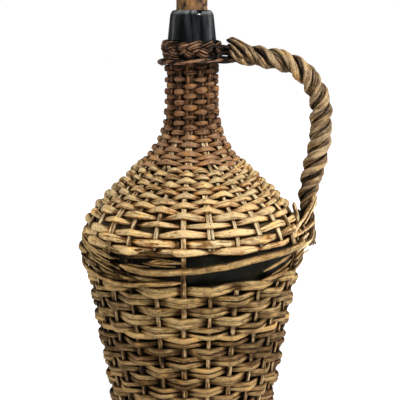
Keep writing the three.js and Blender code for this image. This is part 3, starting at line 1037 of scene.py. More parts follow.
@dataclass
class Cork:
    """The cork in the bottle's mouth, slightly uneven by hand cutting."""

    chamfer: float = 0.0014
    taper: float = 0.0009
    segments: int = 72
    unevenness: float = 0.00025
    smooth_core: float = 0.005
    rim_room: float = 0.001
    seed: int = 11

    def build(self, bark: bpy.types.Material, rim_z: float) -> None:
        """Builds and places the cork.

        Args:
            bark: The cork's finish.
            rim_z: Height of the bottle's rim.
        """
        low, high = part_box("cork")
        radius, end_radius = high.x, high.x - self.taper
        foot, top = low.z + self.chamfer, high.z - self.chamfer
        shaft = [
            (between((end_radius, radius), t), between((foot, rim_z), t)) for t in np.linspace(0.0, 1.0, 8)
        ]
        stand = [(radius, between((rim_z, top), t)) for t in np.linspace(0.2, 1.0, 6)]
        outline = np.array(
            [
                (0.0, low.z),
                (end_radius - self.chamfer, low.z),
                *shaft,
                *stand,
                (radius - 0.3 * self.chamfer, high.z - 0.3 * self.chamfer),
                (radius - self.chamfer, high.z),
                (0.4 * radius, high.z),
                (0.0, high.z),
            ]
        )
        piece = turned("cork_stopper", outline, self.segments, bark)
        self._roughen(piece.data, rim_z)
        place(piece, Body.CORK, ["cork"])

    def _roughen(self, mesh: bpy.types.Mesh, rim_z: float) -> None:
        """Dents the part above the rim inwards, here and there."""
        rng = np.random.default_rng(self.seed)
        co = np.zeros(len(mesh.vertices) * 3)
        mesh.vertices.foreach_get("co", co)
        co = co.reshape(-1, 3)
        above = co[:, 2] > rim_z + self.rim_room
        dent = self.unevenness * np.abs(rng.normal(0.0, 1.0, len(co))) * above
        reach = np.linalg.norm(co[:, :2], axis=1)
        scale = np.where(reach > self.smooth_core, 1.0 - dent / np.maximum(reach, self.smooth_core), 1.0)
        co[:, :2] *= scale[:, None]
        mesh.vertices.foreach_set("co", co.ravel())
        mesh.update()


@dataclass
class Casing:
    """What all the woven pieces share: the uprights and how deep canes lie against the wall."""

    bottle: Bottle
    count: int = 25
    front: int = 12
    front_angle: float = math.radians(-94.5)
    upright_butt: float = 0.0044
    upright_tip: float = 0.0030
    weaver_butt: float = 0.0034
    weaver_tip: float = 0.0026
    clearance: float = 0.0003
    pair_start: float = 0.016
    pair_end: float = 0.012
    pair_gap: float = 0.0031
    dome_end: float = 0.004
    neck_start: float = 0.002

    def __post_init__(self) -> None:
        """Finds where the zones of the weave begin and end."""
        self.wall = self.bottle.wall
        self.neck_columns = math.ceil(self.count / 2)
        cone_end = self.bottle.cone_end
        self.dome = (self.length_at(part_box("dome_weaver")[0].z), cone_end - self.dome_end)
        above_neck = self.bottle.lip_foot_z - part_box("neck_weaver")[1].z
        self.neck = (cone_end - self.neck_start, self.wall.length - above_neck)

    def length_at(self, z: Array | float) -> Array:
        """Length along the wall at which the middle of the weave has a height."""
        point, _, normal = self.wall.at(self.wall.lengths)
        return np.interp(z, point[:, 1] + self.offset(self.wall.lengths) * normal[:, 1], self.wall.lengths)

    def upright_size(self, s: Array) -> Array:
        """Thickness of an upright along the wall."""
        return between((self.upright_butt, self.upright_tip), s / self.wall.length)

    def weaver_size(self, s: Array) -> Array:
        """Thickness of a weaver along the wall."""
        return between((self.weaver_butt, self.weaver_tip), s / self.wall.length)

    def crossing(self, s: Array) -> Array:
        """How far a weaver passes in front of or behind an upright, middle to middle."""
        return (self.upright_size(s) + self.weaver_size(s)) / 2.0

    def offset(self, s: Array) -> Array:
        """How far the middle of an upright lies from the glass."""
        return self.clearance + self.weaver_size(s) / 2.0 + self.crossing(s)

    def angle(self, column: Array, s: Array) -> Array:
        """The angle of an upright, which may lie between two of them.

        Args:
            column: Number of the upright.
            s: Length along the wall.

        Returns:
            The angle about the axis.
        """
        columns = between((self.count, 2 * self.neck_columns), smooth(s, *self.dome))
        return self.front_angle + TAU * (column - self.front) / columns

    def paired_angle(self, index: int, s: Array) -> Array:
        """The angle of an upright that closes up with its neighbour on the neck.

        Args:
            index: Number of the upright.
            s: Length along the wall.

        Returns:
            The angle about the axis.
        """
        share = smooth(s, self.neck[0] - self.pair_start, self.neck[0] + self.pair_end)
        radius = self.wall.at(s)[0][:, 0] + self.offset(s)
        half = self.pair_gap / 2.0 / radius
        own = self.angle(np.full_like(s, index), s)
        even = index - index % 2
        partner = self.angle(np.full_like(s, even), s) + (half if index % 2 else -half)
        return between((own, partner), share)

    def points(self, s: Array, angle: Array, depth: Array) -> tuple[Array, Array]:
        """Places on the casing.

        Args:
            s: Lengths along the wall.
            angle: Angles about the axis.
            depth: Distances out from the glass.

        Returns:
            Points and outward normals.
        """
        point, _, normal = self.wall.at(s)
        flat = point + depth[:, None] * normal
        return around(flat[:, 0], angle, flat[:, 1]), around(normal[:, 0], angle, normal[:, 1])


@dataclass
class Wickerwork:
    """A part of the basket, swept from canes that follow the casing."""

    casing: Casing
    sweep: CaneSweep


@dataclass
class Uprights(Wickerwork):
    """The rods that stand round the bottle, some of them double, and close up in pairs on the neck."""

    foot: float = 0.003
    width: float = 1.22
    doubled: tuple[int, ...] = (1, 4, 9, 13, 15, 18, 22)
    broken: tuple[int, ...] = (11, 13, 14, 15, 16)
    break_at: Pair = (0.166, 0.2075)
    ragged: float = 0.003
    double_from: float = 0.165
    double_lap: float = 0.02
    double_gap: float = 0.0034
    double_size: float = 0.66
    front_size: float = 1.15
    top_room: float = 0.0015
    top_ragged: float = 0.004
    stray: float = 0.0005
    # The rods are darker in the open band under the dome, on the half from the front round the left.
    band_dark: float = 0.40
    band_dark_rise: Pair = (0.172, 0.182)
    band_dark_fall: Pair = (0.194, 0.206)
    crown_level: float = 0.48
    crown_spread: float = 0.12
    # Painted highlight: the rods grow paler from the top of the band upward.
    pale: float = 0.55
    upper_highlight_from: Pair = (0.185, 0.21)
    old: float = 0.60
    old_from: Pair = (0.022, 0.052)
    size_spread: float = 0.07
    tone_spread: float = 0.16
    samples: int = 150
    seed: int = 25

    def build(self) -> None:
        """Builds and places the uprights."""
        rng = np.random.default_rng(self.seed)
        low, high = self.casing.length_at(np.array(self.break_at))
        canes: list[Cane] = []
        for index in range(self.casing.count):
            torn = index in self.broken
            above = high - self.ragged * rng.random() if torn else self.double_from - self.double_lap
            if index in self.doubled:
                canes.append(self._rod(rng, index, self.foot, low if torn else self.double_from))
                canes += [self._rod(rng, index, above, None, side, self.double_size) for side in (-0.5, 0.5)]
            elif torn:
                canes.append(self._rod(rng, index, self.foot, low))
                canes.append(self._rod(rng, index, above, None))
            else:
                canes.append(self._rod(rng, index, self.foot, None))
        nodes = [f"upright_{i + 1:02d}" for i in range(self.casing.count)]
        self.sweep.build("uprights", Slot.UPRIGHT, nodes, canes, flatness=0.82, wobble=0.0003, seed=2.0)

    def _rod(
        self,
        rng: np.random.Generator,
        index: int,
        start: float,
        end: float | None,
        side: float = 0.0,
        share: float = 1.0,
    ) -> Cane:
        """One rod.

        Args:
            rng: Source of random numbers.
            index: Number of the upright.
            start: Length along the wall at its foot.
            end: Length along the wall at its top, or none for the collar.
            side: Which side of a double it is on.
            share: Its size, as a share of a single rod.

        Returns:
            The rod.
        """
        case = self.casing
        top = end
        if top is None:
            top = case.wall.length - self.top_room - self.top_ragged * rng.random()
        s = np.linspace(start, top, self.samples)
        round_wall = case.wall.at(s)[0][:, 0] + case.offset(s)
        closing = 1.0 - smooth(s, case.dome[1] - self.double_lap, case.dome[1])
        aside = self.stray * ripple(rng, s, 0.05) + side * self.double_gap * closing
        points, normals = case.points(s, case.paired_angle(index, s) + aside / round_wall, case.offset(s))
        size = 0.5 * self.width * share * case.upright_size(s) * (1.0 + self.size_spread * rng.normal())
        if index == case.front:
            size = self.front_size * size
        z = points[:, 2]
        # Darker in the open band under the dome, on the half from the front round the left.
        band_dark = self.band_dark * hump(z, self.band_dark_rise, self.band_dark_fall) if index <= case.front else 0.0
        age = smooth(s - case.neck[0], *self.old_from)
        # The crown sets how pale a rod is, partly rubbing and partly painted light; higher up it gets a
        # painted highlight.
        crown = self.crown_level + self.crown_spread * ripple(rng, s, 0.03)
        crown = crown + self.pale * smooth(z, *self.upper_highlight_from) - self.old * age - band_dark
        tone = float(np.clip(rng.normal(0.5, self.tone_spread), 0.0, 1.0))
        return Cane(points, normals, size, np.clip(crown, 0.0, 1.0), tone, age)


@dataclass
class Weave:
    """One zone of weaving: canes that pass in front of one column and behind the next."""

    PARTS = 24.0

    casing: Casing
    span: Pair
    pitch: tuple[float, ...]
    width: tuple[float, ...]
    columns: int
    column_step: int = 1
    canes_per_row: int = 1
    lane: int = 0
    tone: Pair = (0.5, 0.5)
    tone_spread: float = 0.17
    crown: tuple[float, ...] = (1.0,)
    ages: tuple[float, ...] = (0.0,)
    crown_start: tuple[float, ...] = (-0.8,)
    fade: float = 1.3
    stiffness: float = 0.97
    swell: tuple[float, ...] = (0.16,)
    taper: float = 0.16
    size_spread: float = 0.08
    looseness: float = 0.0005
    drift_steps: Pair = (1.0, 5.0)
    bulge_step: float = 1.7
    bulge_depth: float = 0.0002
    bulge_size: float = 0.09
    outside_ends: float = 0.3
    head: float = 0.45
    tail: Pair = (0.30, 0.5)
    stroke_run: tuple[int, int] = (8, 26)
    seed: int = 1
    samples: int = 12

    def canes(self) -> list[Cane]:
        """Lays the canes of the zone.

        Returns:
            The canes, in rows that spiral up the wall.
        """
        rng = np.random.default_rng(self.seed)
        turns, heights = self._rows()
        total = (int(turns[-1] * self.columns) - 1) // 2 * 2 + 1
        steps = np.arange(-self.samples, total * self.samples + 1) / self.samples
        short, long = (ripple(rng, steps, spacing) for spacing in self.drift_steps)
        drift = self.looseness * (short + 1.2 * long)
        bulge = ripple(rng, steps, self.bulge_step)
        canes: list[Cane] = []
        start = -1.0
        while start < total - 2:
            end = start + float(rng.integers(*self.stroke_run)) // 2 * 2
            outside = rng.random() < self.outside_ends
            end = min(end + (1.0 if outside else 0.0), float(total))
            pick = (steps >= start - self.head) & (steps <= end + rng.uniform(*self.tail))
            canes.append(self._cane(rng, steps[pick], turns, heights, drift[pick], bulge[pick]))
            start = end - (1.0 if outside else 0.0)
        return canes

    def _cane(
        self, rng: np.random.Generator, q: Array, turns: Array, heights: Array, drift: Array, bulge: Array
    ) -> Cane:
        """One cane of the zone.

        Args:
            rng: Source of random numbers.
            q: Columns passed, along the cane.
            turns: Turns made, row by row.
            heights: Length along the wall reached, row by row.
            drift: How far the cane strays up the wall.
            bulge: How far its thickness strays.

        Returns:
            The cane.
        """
        case = self.casing
        middle = np.interp(q / self.columns, turns, heights)
        lane = (self.lane - (self.canes_per_row - 1) / 2.0) / self.canes_per_row
        s = middle + drift + lane * self._up_zone(middle, self.pitch)
        turn = np.floor(q / self.columns)
        angle = self._angle((q - turn * self.columns) * self.column_step, s) + TAU * turn
        side = np.arcsin(self.stiffness * np.cos(math.pi * q)) / math.asin(self.stiffness)
        share = (q - q[0]) / (q[-1] - q[0])
        taper = 1.0 + self.taper * (0.5 - share) * (1.0 if rng.random() < 0.5 else -1.0)
        half = 0.5 * self._up_zone(s, self.width) * taper * (1.0 + self.size_spread * rng.normal())
        depth = case.offset(s) + side * case.crossing(s) + self.bulge_depth * bulge
        points, normals = case.points(s, angle, depth)
        radius = half * (1.0 + self._up_zone(s, self.swell) * side + self.bulge_size * bulge)
        height = (s.mean() - self.span[0]) / (self.span[1] - self.span[0])
        tone = float(np.clip(between(self.tone, height) + rng.normal(0.0, self.tone_spread), 0.0, 1.0))
        # The crown rises where the cane lies outermost, partly rubbing and partly painted highlight, and
        # falls to painted shade where it dives behind a column.
        crown_low = self._up_zone(s, self.crown_start)
        crown = smooth(side, crown_low, crown_low + self.fade) * self._up_zone(s, self.crown)
        return Cane(points, normals, radius, crown, tone, self._up_zone(s, self.ages))

    def _up_zone(self, s: Array, values: Sequence[float]) -> Array:
        """Reads a size that is given at even steps up the zone."""
        return np.interp(s, np.linspace(*self.span, len(values)), values)

    def _angle(self, column: Array, s: Array) -> Array:
        """The angle at a column, where the last column of a turn leads on to the first."""
        last = (self.columns - 1) * self.column_step
        angle = self.casing.angle(column, s)
        close = self.casing.angle(np.full_like(s, last), s)
        first = self.casing.angle(np.zeros_like(s), s) + TAU
        share = (column - last) / self.column_step
        return np.where(column > last, between((close, first), share), angle)

    def _rows(self) -> tuple[Array, Array]:
        """Turns made and length along the wall reached, row by row."""
        turns, heights = [0.0], [self.span[0]]
        part = 1.0 / self.PARTS
        while heights[-1] < self.span[1]:
            heights.append(heights[-1] + part * float(self._up_zone(np.array(heights[-1]), self.pitch)))
            turns.append(turns[-1] + part)
        return np.array(turns), np.array(heights)


@dataclass
class BodyWeave(Wickerwork):
    """The lower basket: rows of two canes side by side."""

    NAMES = ("body_canes_lower", "body_canes_upper")

    pitch: float = 0.01042
    width: float = 0.0055
    start_below: float = 0.0021
    end_below: float = 0.0016

    def build(self) -> None:
        """Builds and places both canes of the rows."""
        start = self.casing.length_at(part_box("foot_wale")[1].z) - self.start_below
        end = self.casing.length_at(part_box("body_weaver_02")[1].z) - self.end_below
        for lane, name in enumerate(self.NAMES):
            zone = Weave(
                self.casing,
                span=(start, end),
                pitch=(self.pitch,),
                width=(self.width,),
                columns=self.casing.count,
                canes_per_row=len(self.NAMES),
                lane=lane,
                tone=(0.32, 0.58),
                tone_spread=0.21,
                ages=(0.5, 0.42, 0.25, 0.10, 0.0),
                crown_start=(-1.3,),
                crown=(0.86,),
                swell=(0.08,),
                looseness=0.0006,
                seed=40 + lane,
            )
            nodes = [f"body_weaver_{lane + 1:02d}"]
            self.sweep.build(name, Slot.BODY, nodes, zone.canes(), flatness=0.68, seed=3.0 + lane)


@dataclass
class DomeWeave(Wickerwork):
    """The dome: single canes, wide and open below, narrow and close above."""

    start_below: float = 0.0065
    end_above: float = 0.004

    def build(self) -> None:
        """Builds and places the dome's canes."""
        low, high = self.casing.dome
        zone = Weave(
            self.casing,
            span=(low - self.start_below, high + self.end_above),
            pitch=(0.0073, 0.0076, 0.0078, 0.0074, 0.0068, 0.0060, 0.0050, 0.0044, 0.0043, 0.0043, 0.0043),
            width=(0.0070, 0.0066, 0.0058, 0.0051, 0.0047, 0.0045),
            columns=self.casing.count,
            tone=(0.64, 0.58),
            tone_spread=0.12,
            ages=(0.0, 0.0, 0.22, 0.16, 0.26, 0.14),
            crown_start=(-1.4, -1.4, -0.95, -0.8, -0.75, -0.75),
            swell=(0.15, 0.18, 0.26, 0.36, 0.42, 0.40),
            looseness=0.0006,
            seed=61,
        )
        self.sweep.build("dome_canes", Slot.DOME, ["dome_weaver"], zone.canes(), flatness=0.60, seed=6.0)


@dataclass
class NeckWeave(Wickerwork):
    """The neck: short oval strokes over pairs of uprights."""

    end_above: float = 0.003

    def build(self) -> None:
        """Builds and places the neck's canes."""
        low, high = self.casing.neck
        zone = Weave(
            self.casing,
            span=(low, high + self.end_above),
            pitch=(0.0041, 0.0048, 0.0054, 0.0060),
            width=(0.0038, 0.0042, 0.0045, 0.0047),
            columns=self.casing.neck_columns,
            column_step=2,
            tone=(0.92, 0.42),
            tone_spread=0.12,
            # The low last value darkens the top rows: painted shadow under the hoop.
            crown=(1.0, 1.0, 1.0, 0.95, 0.95, 1.0, 0.2),
            ages=(0.58, 0.74, 0.72, 1.0, 0.95, 0.9, 1.0),
            crown_start=(-1.2,),
            fade=2.1,
            stiffness=0.95,
            swell=(0.38, 0.36, 0.32),
            stroke_run=(7, 16),
            seed=71,
            samples=14,
        )
        self.sweep.build("neck_canes", Slot.NECK, ["neck_weaver"], zone.canes(), flatness=0.5, seed=7.0)


@dataclass(frozen=True)
class TornEnds:
    """A group of short torn canes: how many, and the ranges that each is drawn from."""

    count: int
    angles: Pair
    heights: Pair
    steps: Pair
    climbs: Pair
    way: float
    bend: float
    off: tuple[float, float, float]
    radii: Pair
    tones: Pair
    crown: float


@dataclass
class ShoulderBand(Wickerwork):
    """The open band under the dome: one long cane, a loose bunch to its left and some splinters."""

    FRONT = -90.0
    BUNCH_ANGLES = (-110.0, -75.0, -60.0, -48.0, -38.0)
    BUNCH_TOP = (0.2090, 0.2060, 0.2005, 0.1950, 0.1900)
    BUNCH_FOOT = (0.1785, 0.1780, 0.1755, 0.1735, 0.1725)
    REAR_ANGLES = (-270.0, -230.0, -190.0, -150.0)
    TORN = (
        TornEnds(
            count=8,
            angles=(-82.0, -60.0),
            heights=(0.190, 0.209),
            steps=(9.0, 15.0),
            climbs=(0.006, 0.011),
            way=-1.0,
            bend=0.4,
            off=(0.004, 0.006, 0.005),
            radii=(0.0009, 0.0015),
            tones=(0.5, 1.0),
            crown=0.9,
        ),
        TornEnds(
            count=11,
            angles=(-52.0, -16.0),
            heights=(0.187, 0.203),
            steps=(4.0, 9.0),
            climbs=(-0.006, 0.005),
            way=1.0,
            bend=0.6,
            off=(0.001, 0.003, 0.002),
            radii=(0.0008, 0.0017),
            tones=(0.2, 0.8),
            crown=0.65,
        ),
    )

    laid_taper: float = 0.010
    bunch: int = 10
    bunch_radii: Pair = (0.0012, 0.0019)
    bunch_tones: Pair = (0.2, 0.85)
    bunch_stray: float = 0.0012
    bunch_taper: float = 0.012
    whole_ends: Pair = (-30.0, -12.0)
    torn_share: float = 0.62
    torn_ends: Pair = (-44.0, -38.0)
    torn_drops: Pair = (0.001, 0.005)
    rear_heights: Pair = (0.206, 0.178)
    rear_stray: float = 0.001
    behind_rise: float = 0.0012
    behind_radius: float = 0.0022
    stiffness: float = 0.95
    seed: int = 81

    def build(self) -> None:
        """Builds and places the band's canes."""
        rng = np.random.default_rng(self.seed)
        section = {"sides": 10, "flatness": 0.85, "wobble": 0.001, "seed": 8.0}
        canes = self._long_canes(rng)
        self.sweep.build("shoulder_cane", Slot.BODY, ["shoulder_hoop_01"], canes, **section)
        section = {"flatness": 0.8, "wobble": 0.0018, "seed": 9.0}
        canes = self._bunch(rng)
        self.sweep.build("shoulder_bunch", Slot.BODY, ["shoulder_hoop_02"], canes, **section)
        canes = self._splinters(rng)
        self.sweep.build("shoulder_splinters", Slot.BODY, [], canes, flatness=0.75, seed=10.0)

    def laid(self, places: Sequence[Spot], radius: float, tone: float, crown: float = 0.75) -> Cane:
        """Lays a cane over the uprights.

        Args:
            places: Degrees round to the right from the front, height, and distance off the uprights.
            radius: Half its width.
            tone: 0 for a dark cane, 1 for a pale one.
            crown: How pale it is, partly from rubbing and partly painted highlight.

        Returns:
            The cane.
        """
        case = self.casing
        rows = curve_through(places, 30 * len(places))
        s = case.length_at(rows[:, 1])
        depth = case.offset(s) + rows[:, 2]
        points, normals = case.points(s, np.radians(rows[:, 0] + self.FRONT), depth)
        size = np.full(len(s), radius)
        return Cane(points, normals, size, np.full(len(s), crown), tone).trimmed(self.laid_taper)

    def _long_canes(self, rng: np.random.Generator) -> list[Cane]:
        """The long cane round front and back, its thinner partner, and a lower cane at the left."""
        front = [
            (-37.0, 0.1885, 0.0045),
            (-22.0, 0.1856, 0.0055),
            (-3.5, 0.1876, 0.0056),
            (14.0, 0.1907, 0.0056),
            (35.0, 0.1952, 0.0056),
            (58.0, 0.1966, 0.0058),
            (85.0, 0.1955, 0.0050),
        ]
        back = [(a, 0.190 + 0.002 * rng.normal(), 0.0055) for a in np.arange(115.0, 300.0, 30.0)]
        partner = [(a, 0.1835 + 0.0015 * rng.normal(), 0.0048) for a in np.arange(70.0, 330.0, 26.0)]
        second = [
            (-95.0, 0.1800, 0.0050),
            (-81.0, 0.1770, 0.0055),
            (-53.0, 0.1728, 0.0055),
            (-37.0, 0.1705, 0.0056),
            (-21.0, 0.1742, 0.0056),
            (-5.0, 0.1770, 0.0050),
        ]
        return [
            self.laid(front + back, radius=0.0033, tone=0.72, crown=0.78),
            self.laid(partner, radius=0.0023, tone=0.45, crown=0.6),
            self.laid(second, radius=0.0025, tone=0.60, crown=0.85),
        ]

    def _bunch(self, rng: np.random.Generator) -> list[Cane]:
        """Loosened rows that run together on the left and come round the back from the handle."""
        sides = (np.array(self.BUNCH_TOP), np.array(self.BUNCH_FOOT))
        canes: list[Cane] = []
        for index in range(self.bunch):
            share = (index + rng.uniform(-0.4, 0.4)) / (self.bunch - 1.0)
            row = np.stack([self.BUNCH_ANGLES, between(sides, share)], axis=1)
            row[:, 1] += self.bunch_stray * rng.normal(size=len(row))
            end = (rng.uniform(*self.whole_ends), row[-1, 1] - 0.004 * (1.0 - share) + 0.001)
            if share < self.torn_share:
                row = row[:-1]
                end = (rng.uniform(*self.torn_ends), row[-1, 1] - rng.uniform(*self.torn_drops))
            level = between(self.rear_heights, share)
            rear = [(a, level + self.rear_stray * rng.normal()) for a in self.REAR_ANGLES]
            rows = curve_through([*rear, *map(tuple, row), end], 320)
            size = rng.uniform(*self.bunch_radii)
            tone = float(rng.uniform(*self.bunch_tones))
            canes.append(self._loose_row(rng, rows, index, radius=size, out=0.30, tone=tone))
            # Dark canes set deeper behind the bunch: painted shade in its gaps.
            if index % 3 == 1:
                behind = rows + np.array([0.0, self.behind_rise])
                canes.append(self._loose_row(rng, behind, index, self.behind_radius, out=-0.55, tone=0.05))
        return canes

    def _loose_row(
        self, rng: np.random.Generator, rows: Array, index: int, radius: float, out: float, tone: float
    ) -> Cane:
        """One cane of the bunch.

        Args:
            rng: Source of random numbers.
            rows: Degrees round from the front and heights, along the cane.
            index: Its number, which tells which uprights it passes in front of.
            radius: Half its width.
            out: How far it lies outside the middle of the weave, in crossings.
            tone: 0 for a dark cane, 1 for a pale one.

        Returns:
            The cane.
        """
        case = self.casing
        s = case.length_at(rows[:, 1])
        column = (rows[:, 0] + self.FRONT - math.degrees(case.front_angle)) * case.count / 360.0
        side = np.arcsin(self.stiffness * np.cos(math.pi * (column + index))) / math.asin(self.stiffness)
        stray = ripple(rng, rows[:, 0], 9.0)
        depth = case.offset(s) + (out + 0.55 * side + 0.15 * stray) * case.crossing(s)
        points, normals = case.points(s, np.radians(rows[:, 0] + self.FRONT), depth)
        size = radius * (1.0 + 0.12 * side + 0.10 * stray)
        # Painted light and shade: paler where the cane lies outward, darker where it passes behind.
        crown = np.clip(0.55 + 0.35 * side + 0.32 * ripple(rng, rows[:, 0], 9.0), 0.0, 1.0)
        return Cane(points, normals, size, crown, tone).trimmed(self.bunch_taper)

    def _splinters(self, rng: np.random.Generator) -> list[Cane]:
        """Short broken canes at the right of the band, and torn ends at its left."""
        runs = [
            ([(38.8, 0.1819, 0.003), (47.0, 0.1875, 0.005), (58.0, 0.1925, 0.006)], 0.0019, 0.75),
            ([(45.0, 0.1765, 0.003), (53.0, 0.1825, 0.005), (60.0, 0.1870, 0.005)], 0.0016, 0.7),
            ([(38.0, 0.1735, 0.004), (48.0, 0.1765, 0.006), (57.0, 0.1800, 0.006)], 0.0024, 0.6),
            ([(64.0, 0.1850, 0.005), (78.0, 0.1890, 0.006), (90.0, 0.1930, 0.010)], 0.0014, 0.6),
            ([(64.0, 0.1800, 0.005), (78.0, 0.1830, 0.006), (88.0, 0.1860, 0.007)], 0.0015, 0.5),
            ([(65.0, 0.1750, 0.005), (76.0, 0.1775, 0.006), (87.0, 0.1800, 0.007)], 0.0017, 0.5),
            ([(-28.0, 0.2012, 0.002), (-15.0, 0.2003, 0.003), (-4.0, 0.2008, 0.002)], 0.0017, 0.35, 0.6),
            ([(-21.0, 0.1926, 0.002), (-12.0, 0.1941, 0.003), (-3.0, 0.1940, 0.002)], 0.0014, 0.75, 0.8),
        ]
        canes = [self.laid(*run) for run in runs]
        for group in self.TORN:
            canes += [self._torn_end(rng, group) for _ in range(group.count)]
        return canes

    def _torn_end(self, rng: np.random.Generator, group: TornEnds) -> Cane:
        """One torn end of a group."""
        angle, z = rng.uniform(*group.angles), rng.uniform(*group.heights)
        step, climb = rng.uniform(*group.steps), group.way * rng.uniform(*group.climbs)
        shares = (0.0, group.bend, 1.0)
        places = [
            (angle + index * step, z + share * climb, off)
            for index, (share, off) in enumerate(zip(shares, group.off))
        ]
        return self.laid(places, rng.uniform(*group.radii), rng.uniform(*group.tones), group.crown)


@dataclass
class Collar(Wickerwork):
    """The dark braid under the lip, the loose hoop below it and what ties both to the handle."""

    TIES = (
        ((0.0215, -0.021, 0.3835), (0.029, -0.012, 0.385), (0.037, -0.006, 0.3835), (0.050, -0.006, 0.378)),
        ((0.0200, 0.021, 0.3800), (0.029, 0.011, 0.3815), (0.037, 0.005, 0.3800), (0.052, 0.005, 0.374)),
        ((0.0230, -0.018, 0.3780), (0.030, -0.009, 0.379), (0.037, -0.003, 0.3780), (0.048, -0.003, 0.373)),
    )

    strands: int = 3
    canes_per_strand: int = 4
    waves: float = 4.0
    depth: float = 0.0024
    crest: float = 0.0012
    closeness: float = 0.92
    braid_overlap: float = 1.02
    cane_radius: float = 0.0014
    cane_tones: Pair = (0.2, 0.85)
    packing_rows: int = 4
    packing_radius: float = 0.0025
    packing_depth: float = 0.0066
    packing_room: Pair = (0.003, 0.004)
    packing_overlap: float = 1.01
    packing_tones: Pair = (0.0, 0.3)
    tie_radius: float = 0.0021
    hoop_size: float = 0.78
    hoop_reach: float = 0.55
    hoop_twist: float = 4.0
    hoop_lean: float = 0.0010
    hoop_draw: float = 0.0075
    seed: int = 91

    def build(self) -> None:
        """Builds and places the collar and the hoop."""
        rng = np.random.default_rng(self.seed)
        canes = [
            self._braided(rng, strand, index)
            for strand in range(self.strands)
            for index in range(self.canes_per_strand)
        ]
        canes += self._packing(rng)
        for run in self.TIES:
            path = curve_through(run, 60)
            canes.append(Cane.plain(path, self.tie_radius, tone=0.45, crown=0.45))
        self.sweep.build("collar", Slot.COLLAR, ["collar_winding"], canes, wobble=0.0014, seed=11.0)
        hoop = self._hoop(rng)
        self.sweep.build("neck_hoop_twist", Slot.COLLAR, ["neck_hoop"], hoop, wobble=0.0012, seed=12.0)

    def _braided(self, rng: np.random.Generator, strand: int, index: int) -> Cane:
        """One cane of one strand of the braid."""
        low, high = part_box("collar_winding")
        middle = (low.z + high.z) / 2.0
        share = (index - (self.canes_per_strand - 1) / 2.0) / (self.canes_per_strand - 1)
        width = 2.0 * self.cane_radius * (self.canes_per_strand - 1) * self.closeness
        sway = (high.z - low.z) / 2.0 - self.cane_radius - 0.42 * width
        turn = np.linspace(0.0, TAU * self.braid_overlap, 360)
        drift = 0.5 * ripple(np.random.default_rng(strand), turn, 0.7)
        phase = self.waves * turn + TAU * strand / self.strands + drift
        slope = sway * self.waves * np.cos(phase) / high.x
        lean = np.stack([-slope, np.ones_like(turn)], axis=1)
        lean /= np.linalg.norm(lean, axis=1, keepdims=True)
        aside = width * (share + 0.06 * ripple(rng, turn, 0.5))
        angle = turn + aside * lean[:, 0] / high.x
        z = middle + sway * np.sin(phase) + aside * lean[:, 1]
        core = high.x - self.cane_radius - self.depth - self.crest
        bulge = self.crest * (1.0 - 4.0 * share * share)
        points = around(core + self.depth * np.sin(2.0 * phase) + bulge, angle, z)
        thick = self.cane_radius * (1.0 + 0.12 * ripple(rng, turn, 0.6))
        # Painted light and shade: paler where the cane bulges out, darker where it sinks in.
        crown = 0.45 + 0.35 * np.sin(2.0 * phase)
        return Cane.plain(points, thick, float(rng.uniform(*self.cane_tones)), crown)

    def _packing(self, rng: np.random.Generator) -> list[Cane]:
        """Plain turns of cane that fill the collar behind the braid."""
        low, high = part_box("collar_winding")
        below, above = self.packing_room
        canes: list[Cane] = []
        for z in np.linspace(low.z + below, high.z - above, self.packing_rows):
            turn = np.linspace(0.0, TAU * self.packing_overlap, 160)
            radial = high.x - self.packing_depth + 0.0004 * ripple(rng, turn, 0.7)
            points = around(radial, turn, z + 0.0008 * ripple(rng, turn, 0.9))
            tone = float(rng.uniform(*self.packing_tones))
            canes.append(Cane.plain(points, self.packing_radius, tone, crown=0.15))
        return canes

    def _hoop(self, rng: np.random.Generator) -> list[Cane]:
        """The hoop of two canes twisted together, drawn out to the foot of the handle's start."""
        low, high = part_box("neck_hoop")
        half = (high.z - low.z) / 2.0
        core, middle = high.x - half, (low.z + high.z) / 2.0
        canes: list[Cane] = []
        for index in range(2):
            turn = np.linspace(0.0, TAU, 240)
            phase = self.hoop_twist * turn + math.pi * index + 0.4 * ripple(rng, turn, 0.9)
            drawn = self.hoop_draw * np.clip(np.cos(turn), 0.0, 1.0) ** 6
            reach = self.hoop_reach * half
            radial = core + drawn + reach * np.cos(phase)
            z = middle + reach * np.sin(phase) + self.hoop_lean * np.cos(turn)
            # Painted light and shade: each cane is paler where it lies outward, darker where it turns inward.
            tone, crown = 0.65 - 0.25 * index, 0.55 + 0.35 * np.cos(phase)
            canes.append(Cane.plain(around(radial, turn, z), self.hoop_size * half, tone, crown))
        return canes


